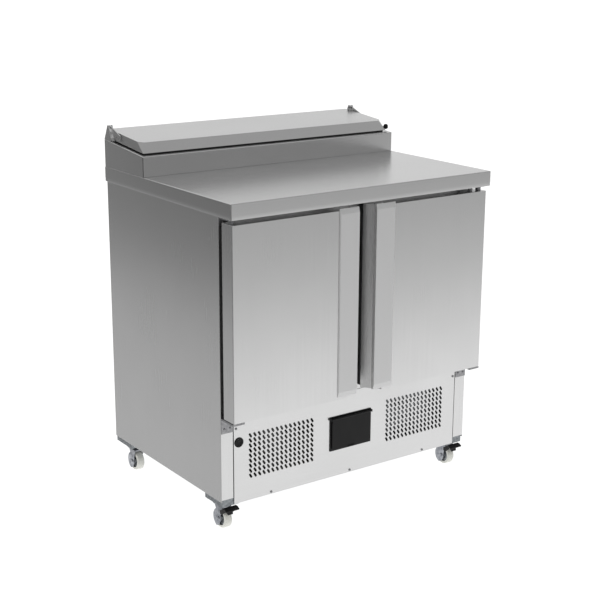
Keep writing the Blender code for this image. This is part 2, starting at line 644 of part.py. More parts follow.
# ---- cooling machine ----------------------------------------------------
def fan(make, name, centre, radius, depth, blades=5):
    """A hub with pitched blades, turning about Y."""
    axis = make.pivot(f"{name}_axis", centre)
    hub = rod(centre, 0.22 * radius, (-depth / 2, depth / 2), "Y", 20)
    rotor = make.piece(name, hub, "plastic_black", axis)
    vanes = []
    for i in range(blades):
        vane = block((0.15 * radius, radius), (-0.0010, 0.0010), (-0.21 * radius, 0.21 * radius))
        pitched = Matrix.Rotation(math.radians(28), 4, "X")
        turn = Matrix.Rotation(2 * math.pi * i / blades, 4, "Y")
        vanes.append(moved(vane, Matrix.Translation(centre) @ turn @ pitched))
    for vane in vanes:
        make.join(rotor, vane)


def cooling_machine(make):
    """Compressor, condenser, evaporator and their fans."""
    floor = TRAY_BOTTOM + SHEET + GAP
    pot = [(0.030, 0.0), (0.060, 0.0), (0.060, 0.010), (0.074, 0.035), (0.076, 0.100), (0.070, 0.140),
           (0.045, 0.165), (0.020, 0.172)]
    compressor = make.piece("compressor", turned(pot, (-0.220, 0.060, floor), "Z", 24), "painted_black")
    make.join(compressor, block((-0.310, -0.130), (0.000, 0.120), (floor, floor + 0.004)))
    make.join(compressor, block((-0.160, -0.120), (0.035, 0.085), (floor + 0.050, floor + 0.120)))

    coil = make.piece("condenser_coil", block((0.100, 0.385), (-0.240, -0.198), (floor, 0.318)), "aluminium")
    grooves = [block((0.104, 0.381), y, (0.112 + 0.026 * i, 0.124 + 0.026 * i))
               for i in range(8) for y in ((-0.25, -0.232), (-0.206, -0.19))]
    make.cut(coil, gathered(grooves))

    motor = make.piece("condenser_fan_motor", rod((FAN_X, 0.0, FAN_Z), 0.034, (-0.150, -0.100), "Y", 20),
                       "painted_black")
    make.join(motor, block((FAN_X - 0.012, FAN_X + 0.012), (-0.135, -0.115), (floor + 0.001, FAN_Z)))
    make.join(motor, block((FAN_X - 0.040, FAN_X + 0.040), (-0.145, -0.105), (floor, floor + 0.003)))
    fan(make, "condenser_fan", (FAN_X, -0.168, FAN_Z), 0.088, 0.024)

    back = LINER_BACK_Y - SHEET - GAP
    casing = make.piece("evaporator_coil", block((-0.165, 0.165), (0.255, back), (0.630, 0.840)), "aluminium")
    make.cut(casing, rod((0.0, 0.0, EVAPORATOR_Z), 0.080, (0.245, 0.305), "Y", 24))
    make.join(casing, rod((0.0, 0.0, EVAPORATOR_Z), 0.018, (0.284, 0.310), "Y", 16))
    fan(make, "evaporator_fan", (0.0, 0.270, EVAPORATOR_Z), 0.074, 0.022)

    gland = [(0.012, 0.0), (0.012, -0.014), (0.017, -0.0145), (0.017, -0.0200), (0.008, -0.0215)]
    fitting = make.piece("cable_gland", turned(gland, (0.34, BACK_Y, 0.140), "Y", 16), "plastic_black")
    make.cut(fitting, rod((0.34, BACK_Y, 0.140), 0.0045, (-0.03, 0.01), "Y", 12))


# ---- casters ------------------------------------------------------------
def shield(axle_y, axle_z, top_z):
    """Side outline of a fork leg: round behind the wheel, narrow in front of the axle, wide at the top."""
    rim = arc((axle_y, axle_z), 0.0283, -68, 63, 10)
    front = [(-0.019, top_z), (-0.013, 0.0500), (-0.0105, 0.0390), (-0.0100, 0.0240), (-0.0030, 0.0110)]
    return rim + [(axle_y + 0.020, top_z)] + [(axle_y + a, z) for a, z in front]


def casters(make):
    """Four swivel casters; the front pair has a brake pedal."""
    for end, y in (("front", CASTER_Y[0]), ("back", CASTER_Y[1])):
        for word, side in (("left", -1), ("right", 1)):
            x = side * CASTER_X
            swivel = make.pivot(f"caster_{end}_{word}_axis", (x, y, CASTER_PLATE_Z))
            fork_z = 0.0690
            head = [(0.020, fork_z - CASTER_PLATE_Z), (0.0225, -0.006), (0.0225, -0.002), (0.019, -GAP)]
            fork = make.piece(f"caster_fork_{end}_{word}", turned(head, (x, y, CASTER_PLATE_Z), "Z", 24),
                              "zinc", swivel)
            make.join(fork, block((x - 0.0155, x + 0.0155), (y - 0.034, y + 0.006),
                                  (fork_z - 0.003, fork_z + 0.001)))
            legs = []
            leg = shield(y - WHEEL_TRAIL, WHEEL_R, fork_z - 0.001)
            for near, far in ((-0.0157, -0.0137), (0.0137, 0.0157)):
                legs.append(prism(leg, (x + near, x + far), "X"))
            make.join(fork, gathered(legs))
            make.join(fork, rod((x, y - WHEEL_TRAIL, WHEEL_R), AXLE_R, (-0.0170, 0.0170), "X", 12))
            if end == "front":
                stud = (x, y + PEDAL_PIVOT[0] - WHEEL_TRAIL, PEDAL_PIVOT[1])
                make.join(fork, gathered([rod(stud, 0.0028, span, "X", 10)
                                          for span in ((-0.0185, -0.0140), (0.0140, 0.0185))]))
            caster_wheel(make, f"caster_wheel_{end}_{word}", x, y - WHEEL_TRAIL)
            if end == "front":
                brake_pedal(make, f"caster_brake_{word}", x, y - WHEEL_TRAIL)


def caster_wheel(make, name, x, y):
    """A tyred wheel with a dished hub and a bore for the axle."""
    axis = make.pivot(f"{name}_axis", (x, y, WHEEL_R))
    w = WHEEL_HALF_W
    half = [(AXLE_R + 0.0003, 0.0125), (0.009, 0.0125), (0.010, w - 0.004), (0.021, w - 0.004), (0.022, w),
            (WHEEL_R - 0.003, w), (WHEEL_R, w - 0.0035)]
    profile = half + [(r, -h) for r, h in reversed(half)]
    make.piece(name, turned(profile, (x, y, WHEEL_R), "X", 28, closed=True), "tyre", axis)


def brake_pedal(make, name, x, y):
    """A forked lever hung on studs of the fork, with a tread plate and a down-turned toe."""
    pivot_y, pivot_z = y + PEDAL_PIVOT[0], PEDAL_PIVOT[1]
    axis = make.pivot(f"{name}_axis", (x, pivot_y, pivot_z))
    tread = [(y - 0.052, 0.0655), (y - 0.052, 0.0695), (y - 0.042, 0.0745), (y - 0.034, 0.0745),
             (y - 0.034, 0.0700)]
    pedal = make.piece(name, prism(tread, (x - 0.0220, x + 0.0220), "X"), "plastic_black", axis)
    cheek = [(y - 0.044, 0.0705), (y - 0.034, 0.0725), (pivot_y + 0.006, pivot_z + 0.004),
             (pivot_y + 0.004, pivot_z - 0.006), (pivot_y - 0.006, pivot_z - 0.006), (y - 0.038, 0.0610)]
    cheeks = [prism(cheek, (x + a, x + b), "X") for a, b in ((-0.0182, -0.0160), (0.0160, 0.0182))]
    for cheek_mesh in cheeks:
        make.join(pedal, cheek_mesh)
    toe = [(y - 0.050, 0.0570), (y - 0.045, 0.0550), (y - 0.040, 0.0590), (y - 0.039, 0.0700),
           (y - 0.049, 0.0690)]
    make.join(pedal, prism(toe, (x - 0.0140, x + 0.0020), "X"))
    make.cut(pedal, rod((x, pivot_y, pivot_z), 0.0032, (-0.03, 0.03), "X", 10))


def main():
    """Clear the scene and build every piece."""
    for obj in list(bpy.data.objects):
        bpy.data.objects.remove(obj)
    make = Builder()
    side_panels(make)
    back_panel(make)
    base_pan(make)
    door_frame(make)
    liner_and_insulation(make)
    shelves(make)
    worktop(make)
    pan_collar(make)
    food_pans(make)
    lid(make)
    lid_brackets(make)
    doors(make)
    door_hinges(make)
    louvre_panel(make)
    controller(make)
    power_switch(make)
    cooling_machine(make)
    casters(make)


main()
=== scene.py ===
"""Looks of a refrigerated sandwich prep table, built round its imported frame.

Metres, +Z up, doors facing -Y. Every piece rides on one of the frame's bodies.
"""

from __future__ import annotations

import json
import logging
import math
from dataclasses import dataclass, field
from enum import Enum
from typing import Sequence

import bmesh
import bpy
import numpy as np
from mathutils import Matrix, Vector

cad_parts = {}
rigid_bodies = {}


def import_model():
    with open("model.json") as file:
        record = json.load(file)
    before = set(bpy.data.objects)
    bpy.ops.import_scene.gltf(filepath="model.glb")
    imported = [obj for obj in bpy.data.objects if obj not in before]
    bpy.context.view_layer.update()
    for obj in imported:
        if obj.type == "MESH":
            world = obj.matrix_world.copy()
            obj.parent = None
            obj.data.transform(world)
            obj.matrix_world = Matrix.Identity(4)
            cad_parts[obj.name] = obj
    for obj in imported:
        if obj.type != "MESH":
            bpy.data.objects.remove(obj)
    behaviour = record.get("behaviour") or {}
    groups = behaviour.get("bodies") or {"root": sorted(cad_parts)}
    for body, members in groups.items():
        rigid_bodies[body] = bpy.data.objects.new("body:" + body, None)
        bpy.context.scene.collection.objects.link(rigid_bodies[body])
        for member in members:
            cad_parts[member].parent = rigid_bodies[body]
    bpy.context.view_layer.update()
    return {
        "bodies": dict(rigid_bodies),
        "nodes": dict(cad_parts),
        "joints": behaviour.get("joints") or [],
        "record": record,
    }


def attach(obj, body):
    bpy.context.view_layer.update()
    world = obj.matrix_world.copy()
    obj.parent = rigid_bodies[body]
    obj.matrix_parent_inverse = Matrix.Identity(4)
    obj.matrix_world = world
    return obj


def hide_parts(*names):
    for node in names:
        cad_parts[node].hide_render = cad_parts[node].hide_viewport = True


LOG = logging.getLogger("prep_table")
Array = np.ndarray
FRAME: dict = {}

MM = 0.001
GAP = 0.3 * MM
TURN = 2.0 * math.pi


class Axis(Enum):
    """The world axis along which a shape runs."""

    X = 0
    Y = 1
    Z = 2


# ------------------------------------------------------------------ shading


def linear(code: str) -> tuple[float, float, float, float]:
    """Turns an sRGB hex code into a linear colour.

    Args:
        code: Six hex digits after a hash sign.

    Returns:
        Red, green, blue and an alpha of one.
    """
    values = [int(code[i : i + 2], 16) / 255.0 for i in (1, 3, 5)]
    bent = [v / 12.92 if v <= 0.04045 else ((v + 0.055) / 1.055) ** 2.4 for v in values]
    return bent[0], bent[1], bent[2], 1.0


def add_node(tree: bpy.types.NodeTree, kind: str, inputs: dict | None = None, **settings) -> bpy.types.Node:
    """Adds one node with its settings, input values and links.

    Args:
        tree: The node tree that gets the node.
        kind: The node's type name, without the ShaderNode prefix.
        inputs: Input names or numbers, each with a value or an output socket to link.
        settings: Attributes of the node.

    Returns:
        The new node.
    """
    made = tree.nodes.new(f"ShaderNode{kind}")
    for name, value in settings.items():
        setattr(made, name, value)
    for key, value in (inputs or {}).items():
        if isinstance(value, bpy.types.NodeSocket):
            tree.links.new(value, made.inputs[key])
        else:
            made.inputs[key].default_value = value
    return made


def ramp(tree: bpy.types.NodeTree, source: bpy.types.NodeSocket,
         stops: Sequence[tuple[float, str]]) -> bpy.types.Node:
    """Adds a colour ramp.

    Args:
        tree: The node tree that gets the ramp.
        source: The socket that drives it.
        stops: Positions with hex colours, in rising order.

    Returns:
        The ramp node.
    """
    made = add_node(tree, "ValToRGB", {"Fac": source})
    band = made.color_ramp
    while len(band.elements) < len(stops):
        band.elements.new(1.0)
    for element, (place, code) in zip(band.elements, stops):
        element.position = place
        element.color = linear(code)
    return made


@dataclass(frozen=True)
class Finish:
    """A surface with a fine random texture in colour, gloss and height.

    The grain size is the length of one mark along X, Y and Z; a brushed sheet has marks that are
    long one way and narrow the other two.
    """

    name: str
    dark: str
    light: str
    metallic: float
    roughness: float
    spread: float
    grain: tuple[float, float, float]
    height: float
    cloud: float = 0.0
    cloud_size: float = 0.18
    contrast: tuple[float, float] = (0.35, 0.65)
    specular: float = 0.5

    def build(self) -> bpy.types.Material:
        """Makes the material, or returns it if it was made before."""
        found = bpy.data.materials.get(self.name)
        if found:
            return found
        material = bpy.data.materials.new(self.name)
        material.use_nodes = True
        tree = material.node_tree
        shader = tree.nodes["Principled BSDF"]
        place = add_node(tree, "TexCoord").outputs["Object"]
        mapping = add_node(tree, "Mapping", {"Vector": place, "Scale": [1.0 / g for g in self.grain]})
        marks = add_node(tree, "TexNoise",
                         {"Vector": mapping.outputs[0], "Scale": 1.0, "Detail": 3.0, "Roughness": 0.6})
        level = marks.outputs["Fac"]
        if self.cloud:
            patches = add_node(tree, "TexNoise",
                               {"Vector": place, "Scale": 1.0 / self.cloud_size, "Detail": 2.0})
            level = add_node(tree, "Mix",
                             {"Factor": self.cloud, "A": level, "B": patches.outputs["Fac"]}).outputs[0]
        low, high = self.contrast
        colour = ramp(tree, level, [(low, self.dark), (high, self.light)])
        tree.links.new(colour.outputs["Color"], shader.inputs["Base Color"])
        gloss = add_node(tree, "MapRange", {"Value": level, "From Min": 0.3, "From Max": 0.7,
                                            "To Min": self.roughness + self.spread,
                                            "To Max": self.roughness - self.spread})
        tree.links.new(gloss.outputs[0], shader.inputs["Roughness"])
        bump = add_node(tree, "Bump",
                        {"Height": marks.outputs["Fac"], "Strength": 1.0, "Distance": self.height})
        tree.links.new(bump.outputs[0], shader.inputs["Normal"])
        shader.inputs["Metallic"].default_value = self.metallic
        shader.inputs["Specular IOR Level"].default_value = self.specular
        return material


# Cold-rolled 304 stainless with a number 4 brushed face: a soft mirror drawn out along the grain.
# Real brush marks are 0.05 mm wide, too fine to show, so they are drawn 2.5 mm wide and very faint.
STEEL_UPRIGHT = Finish("stainless_brushed_upright", "#cfcfcf", "#d3d3d3", 1.0, 0.27, 0.005,
                       (2.5 * MM, 2.5 * MM, 320 * MM), 0.0004 * MM, cloud=0.5)
STEEL_LENGTHWISE = Finish("stainless_brushed_lengthwise", "#cfcfcf", "#d3d3d3", 1.0, 0.25, 0.005,
                          (320 * MM, 2.5 * MM, 2.5 * MM), 0.0004 * MM, cloud=0.5)
# The doors' pull strips are blasted to an even satin, so they look the same from top to bottom.
STEEL_SATIN = Finish("stainless_satin_blasted", "#dcdcdc", "#e2e2e2", 1.0, 0.70, 0.01,
                     (1.5 * MM, 1.5 * MM, 1.5 * MM), 0.001 * MM)
# Plain pickled stainless for brackets: duller and darker, with no grain to speak of.
STEEL_PLAIN = Finish("stainless_pickled", "#8d8d8f", "#a3a3a5", 1.0, 0.40, 0.05, (9 * MM, 9 * MM, 9 * MM),
                     0.02 * MM)
# Deep-drawn and polished pans: bright, with faint drawing lines down the walls.
STEEL_DRAWN = Finish("stainless_deep_drawn", "#d2d2d0", "#dfdfdd", 1.0, 0.18, 0.03, (5 * MM, 5 * MM, 60 * MM),
                     0.01 * MM)
# Hot-dip galvanised sheet: grey with cloudy zinc crystals about 8 mm across.
GALVANISED = Finish("steel_galvanised", "#7f8386", "#9ca0a3", 0.9, 0.45, 0.08, (8 * MM, 8 * MM, 8 * MM),
                    0.02 * MM)
# Bright zinc plate on the casters: a cool grey mirror, slightly clouded.
ZINC = Finish("zinc_plate_clear_passivated", "#7c7f85", "#acaeb3", 0.9, 0.33, 0.08,
              (14 * MM, 14 * MM, 14 * MM), 0.02 * MM)
# Polyurethane tread on the wheels: cream-grey, half glossy.
TREAD = Finish("polyurethane_cream_grey", "#dcdcd4", "#e6e6e0", 0.0, 0.42, 0.05, (6 * MM, 6 * MM, 6 * MM),
               0.02 * MM)
# Injection-moulded ABS with a fine spark-eroded texture that scatters most of its shine.
BLACK_ABS = Finish("abs_black_moulded", "#0b0b0c", "#111113", 0.0, 0.45, 0.05, (1.5 * MM, 1.5 * MM, 1.5 * MM),
                   0.02 * MM, specular=0.25)
# Polycarbonate flap, smoked nearly black, with a fine matt texture outside.
SMOKED = Finish("polycarbonate_smoked", "#0a0a0b", "#0d0d0e", 0.0, 0.40, 0.02, (30 * MM, 30 * MM, 30 * MM),
                0.005 * MM, specular=0.22)
# High-impact polystyrene, vacuum formed over the doors' backs.
WHITE_HIPS = Finish("polystyrene_white_formed", "#dededa", "#e8e8e4", 0.0, 0.38, 0.04,
                    (4 * MM, 4 * MM, 4 * MM), 0.02 * MM)
# Extruded magnetic gasket, soft grey-black vinyl.
GASKET = Finish("vinyl_gasket_black", "#1b1b1c", "#262627", 0.0, 0.62, 0.05, (3 * MM, 3 * MM, 3 * MM),
                0.03 * MM)
# Thin aluminium fins, seen as close upright lines; drawn at 3 mm instead of their 2 mm spacing.
FINS = Finish("aluminium_fins", "#85888b", "#c3c6c9", 0.9, 0.42, 0.08, (3 * MM, 40 * MM, 400 * MM), 0.4 * MM)
# Satin black powder coat on the compressor and its brackets.
POWDER_BLACK = Finish("powder_coat_black", "#111112", "#1a1a1b", 0.0, 0.48, 0.06, (2 * MM, 2 * MM, 2 * MM),
                      0.06 * MM)
# Polyethylene coat on the shelf wires.
WIRE_COAT = Finish("polyethylene_coated_wire", "#b9bcbe", "#c8cacc", 0.0, 0.40, 0.04,
                   (6 * MM, 6 * MM, 6 * MM), 0.02 * MM)
# Foamed-in-place polyurethane, pale yellow with small cells.
FOAM = Finish("polyurethane_foam", "#cdb984", "#dccb9a", 0.0, 0.90, 0.04, (2 * MM, 2 * MM, 2 * MM), 0.2 * MM)


# ------------------------------------------------------------------ surfaces


def rounded(corners: Sequence[tuple[float, float]], radii: float | Sequence[float], steps: int = 4) -> Array:
    """Rounds the corners of a polygon.

    At a corner with unit directions a and b along its two sides and half its angle h, the arc's centre
    is at the corner plus (a + b) normalised times r / sin h, and the arc meets each side r / tan h away.
    The points between follow by turning one radius into the other in equal angles.

    Args:
        corners: The polygon, in order.
        radii: One radius, or one for each corner.
        steps: Points on each arc.

    Returns:
        The outline, anticlockwise, as rows of two coordinates.
    """
    points = np.asarray(corners, float)
    size = np.broadcast_to(np.asarray(radii, float), (len(points),)).copy()
    x, y = points.T
    if np.sum(x * np.roll(y, -1) - np.roll(x, -1) * y) < 0:
        points, size = points[::-1], size[::-1]
    back = np.roll(points, 1, 0) - points
    ahead = np.roll(points, -1, 0) - points
    back /= np.linalg.norm(back, axis=1)[:, None]
    ahead /= np.linalg.norm(ahead, axis=1)[:, None]
    half = np.arccos(np.clip(np.sum(back * ahead, 1), -1.0, 1.0)) / 2.0
    middle = back + ahead
    middle /= np.linalg.norm(middle, axis=1)[:, None]
    centre = points + middle * (size / np.sin(half))[:, None]
    reach = (size / np.tan(half))[:, None]
    first, last = points + back * reach - centre, points + ahead * reach - centre
    sweep = (math.pi - 2.0 * half)[:, None]
    k = np.linspace(0.0, 1.0, steps)[None, :]
    share = np.sin((1.0 - k) * sweep) / np.sin(sweep), np.sin(k * sweep) / np.sin(sweep)
    ring = centre[:, None] + first[:, None] * share[0][..., None] + last[:, None] * share[1][..., None]
    return ring.reshape(-1, 2)


def rectangle(x: tuple[float, float], y: tuple[float, float], radius: float, steps: int = 4) -> Array:
    """A rounded rectangle from its two spans."""
    return rounded([(x[0], y[0]), (x[1], y[0]), (x[1], y[1]), (x[0], y[1])], radius, steps)


def inset(outline: Array, distance: float) -> Array:
    """Moves each side of an outline inwards.

    Each point goes along the mean of its two sides' inward normals, by the distance over the cosine
    of the angle between that mean and a normal.

    Args:
        outline: An anticlockwise outline.
        distance: How far in; negative goes outwards.

    Returns:
        The moved outline.
    """
    side = np.roll(outline, -1, 0) - outline
    side /= np.maximum(np.linalg.norm(side, axis=1), 1e-12)[:, None]
    normal = np.stack([-side[:, 1], side[:, 0]], 1)
    mean = normal + np.roll(normal, 1, 0)
    mean /= np.linalg.norm(mean, axis=1)[:, None]
    lean = np.sum(mean * normal, 1)
    return outline + mean * (distance / lean)[:, None]


def placed(outline: Array, height: float | Array, axis: Axis) -> Array:
    """Sets a flat outline at a height along an axis; its pairs are the other two axes in order."""
    tall = np.broadcast_to(np.asarray(height, float), (len(outline),))
    return np.insert(outline, axis.value, tall, axis=1)


def skin(rings: Array, closed: bool = False) -> tuple[Array, list]:
    """Joins rings of equal length with quads.

    Point j of ring i meets points j and j + 1 of ring i + 1, counted round.

    Args:
        rings: An array of ring, point and coordinate.
        closed: Whether the last ring joins the first; if not, both end rings are filled.

    Returns:
        The points and the faces.
    """
    count, size = rings.shape[:2]
    i = np.arange(count if closed else count - 1)[:, None]
    j = np.arange(size)[None, :]
    k, up = (j + 1) % size, (i + 1) % count
    quads = np.stack([i * size + j, i * size + k, up * size + k, up * size + j], -1).reshape(-1, 4).tolist()
    if not closed:
        quads.append(list(range(size - 1, -1, -1)))
        quads.append(list(range((count - 1) * size, count * size)))
    return rings.reshape(-1, 3), quads


def extruded(outline: Array, span: tuple[float, float], axis: Axis, edge: float,
             steps: int = 3) -> tuple[Array, list]:
    """Pushes an outline along an axis and rounds both end edges.

    At angle t of a quarter turn the ring lies edge * (1 - cos t) from the end and is drawn in by
    edge * (1 - sin t).

    Args:
        outline: The flat outline.
        span: Where it starts and ends.
        axis: The axis along which it is pushed.
        edge: The radius of the end edges.
        steps: Rings in each rounded edge.

    Returns:
        The points and the faces.
    """
    turns = np.linspace(0.0, math.pi / 2, steps)
    depth, draw = edge * (1.0 - np.cos(turns)), edge * (1.0 - np.sin(turns))
    low = [placed(inset(outline, d), span[0] + h, axis) for d, h in zip(draw, depth)]
    high = [placed(inset(outline, d), span[1] - h, axis) for d, h in zip(draw[::-1], depth[::-1])]
    return skin(np.array(low + high))


def turned(profile: Sequence[tuple[float, float]], centre: Sequence[float], axis: Axis, sides: int = 32,
           closed: bool = False) -> tuple[Array, list]:
    """Turns a profile of radius and height about an axis.

    Point j of ring i is the centre plus its radius times (cos, sin) of j / sides of a turn, with its
    height along the axis.

    Args:
        profile: Pairs of radius and height.
        centre: The point that heights are counted from.
        axis: The axis of turning.
        sides: Points round.
        closed: Whether the profile closes on itself.

    Returns:
        The points and the faces.
    """
    shape = np.asarray(profile, float)
    angle = (np.arange(sides) + 0.5) * TURN / sides
    flat = shape[:, 0, None, None] * np.stack([np.cos(angle), np.sin(angle)], -1)[None]
    rings = np.array([placed(ring, h, axis) for ring, h in zip(flat, shape[:, 1])])
    return skin(rings + np.asarray(centre, float), closed)


def tube(path: Array, radius: float, sides: int = 8) -> tuple[Array, list]:
    """Carries a circle along a path.

    The circle at each point stands across the path's direction there, on two axes found by crossing
    that direction with one fixed vector.

    Args:
        path: Points along the middle of the tube.
        radius: The tube's radius.
        sides: Points round.

    Returns:
        The points and the faces.
    """
    along = np.gradient(path, axis=0)
    along /= np.linalg.norm(along, axis=1)[:, None]
    fixed = np.array([0.0, 0.0, 1.0]) if abs(along[0, 2]) < 0.8 else np.array([1.0, 0.0, 0.0])
    across = np.cross(along, fixed)
    across /= np.linalg.norm(across, axis=1)[:, None]
    over = np.cross(along, across)
    angle = np.arange(sides) * TURN / sides
    ring = across[:, None] * np.cos(angle)[None, :, None] + over[:, None] * np.sin(angle)[None, :, None]
    return skin(path[:, None] + radius * ring)


def merged(*shapes: tuple[Array, list]) -> tuple[Array, list]:
    """Puts several shapes in one list of points and one of faces."""
    points, faces, start = [], [], 0
    for shape_points, shape_faces in shapes:
        points.append(shape_points)
        faces += [[start + n for n in face] for face in shape_faces]
        start += len(shape_points)
    return np.concatenate(points), faces


def carried(shape: tuple[Array, list], matrix: Matrix) -> tuple[Array, list]:
    """Multiplies a shape's points by a matrix."""
    turn = np.array(matrix)
    return shape[0] @ turn[:3, :3].T + turn[:3, 3], shape[1]


def mirrored(shape: tuple[Array, list], side: int) -> tuple[Array, list]:
    """The shape itself for side 1, and its mirror image across X for side -1."""
    return shape[0] * np.array([side, 1.0, 1.0]), shape[1]


# ------------------------------------------------------------------ pieces


def finish_mesh(obj: bpy.types.Object, finish: Finish, body: str, stands_for: Sequence[str],
                angle: float) -> bpy.types.Object:
    """Shades a piece, dresses it and sets it on its body.

    Args:
        obj: The piece.
        finish: Its surface.
        body: The body that it rides on.
        stands_for: CAD nodes that it replaces.
        angle: Edges sharper than this, in degrees, stay sharp.

    Returns:
        The piece.
    """
    mesh = obj.data
    mesh.shade_smooth()
    mesh.set_sharp_from_angle(angle=math.radians(angle))
    mesh.materials.clear()
    mesh.materials.append(finish.build())
    even = obj.modifiers.new("even_normals", "WEIGHTED_NORMAL")
    even.keep_sharp = True
    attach(obj, body)
    if stands_for:
        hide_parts(*stands_for)
    LOG.info("%s rides on %s with %d faces", obj.name, body, len(mesh.polygons))
    return obj


def piece(name: str, shape: tuple[Array, list], finish: Finish, body: str,
          stands_for: Sequence[str] = (), angle: float = 40.0) -> bpy.types.Object:
    """Makes a new piece from points and faces.

    Args:
        name: The piece's name.
        shape: Its points and faces.
        finish: Its surface.
        body: The body that it rides on.
        stands_for: CAD nodes that it replaces.
        angle: Edges sharper than this, in degrees, stay sharp.

    Returns:
        The piece.
    """
    mesh = bpy.data.meshes.new(name)
    mesh.from_pydata(shape[0].tolist(), [], shape[1])
    work = bmesh.new()
    work.from_mesh(mesh)
    bmesh.ops.remove_doubles(work, verts=work.verts, dist=1e-6)
    bmesh.ops.recalc_face_normals(work, faces=work.faces)
    work.to_mesh(mesh)
    work.free()
    obj = bpy.data.objects.new(name, mesh)
    bpy.context.scene.collection.objects.link(obj)
    return finish_mesh(obj, finish, body, stands_for, angle)


def softened(node: str, finish: Finish, body: str, width: float,
             segments: int = 2) -> bpy.types.Object:
    """Copies a CAD node, welds it and rounds its edges.

    Args:
        node: The CAD node.
        finish: Its surface.
        body: The body that it rides on.
        width: The rounding's width.
        segments: Faces across the rounding.

    Returns:
        The copy, which stands for the node.
    """
    mesh = FRAME["nodes"][node].data.copy()
    work = bmesh.new()
    work.from_mesh(mesh)
    bmesh.ops.remove_doubles(work, verts=work.verts, dist=1e-5)
    bmesh.ops.dissolve_limit(work, angle_limit=math.radians(0.6), verts=work.verts, edges=work.edges)
    work.to_mesh(mesh)
    work.free()
    obj = bpy.data.objects.new(f"{node}_soft", mesh)
    bpy.context.scene.collection.objects.link(obj)
    bevel = obj.modifiers.new("edges", "BEVEL")
    bevel.width = width
    bevel.segments = segments
    bevel.limit_method = "ANGLE"
    bevel.angle_limit = math.radians(35)
    bevel.use_clamp_overlap = True
    return finish_mesh(obj, finish, body, [node], 40.0)


def dressed(node: str, finish: Finish) -> None:
    """Gives a CAD node that stays in view a better finish."""
    mesh = FRAME["nodes"][node].data
    for index in range(max(1, len(mesh.materials))):
        if mesh.materials:
            mesh.materials[index] = finish.build()
        else:
            mesh.materials.append(finish.build())


def screw(centre: Sequence[float], axis: Axis, sign: float, radius: float = 3.6 * MM) -> tuple[Array, list]:
    """A pan-head screw with a round drive recess, its head rising from centre along the axis."""
    tall = 0.62 * radius
    heads = [(radius, 0.0), (radius, 0.35 * tall), (0.86 * radius, 0.75 * tall), (0.55 * radius, tall),
             (0.34 * radius, tall), (0.26 * radius, 0.45 * tall), (0.05 * radius, 0.4 * tall)]
    return turned([(r, sign * h) for r, h in heads], centre, axis, 16)


# ------------------------------------------------------------------ the table


@dataclass(frozen=True)
class Tilt:
    """The sloping frame of the pan box's rim: s runs back along it and t stands on it."""

    front_y: float = 0.112
    front_z: float = 1.006
    angle: float = math.atan2(0.0223, 0.2336)

    @property
    def matrix(self) -> Matrix:
        """From (x, s, t) to the table's frame."""
        return Matrix.Translation((0.0, self.front_y, self.front_z)) @ Matrix.Rotation(self.angle, 4, "X")

    def lift(self, y: Array) -> Array:
        """The rim's height at each y."""
        return self.front_z + (y - self.front_y) * math.tan(self.angle)


TILT = Tilt()


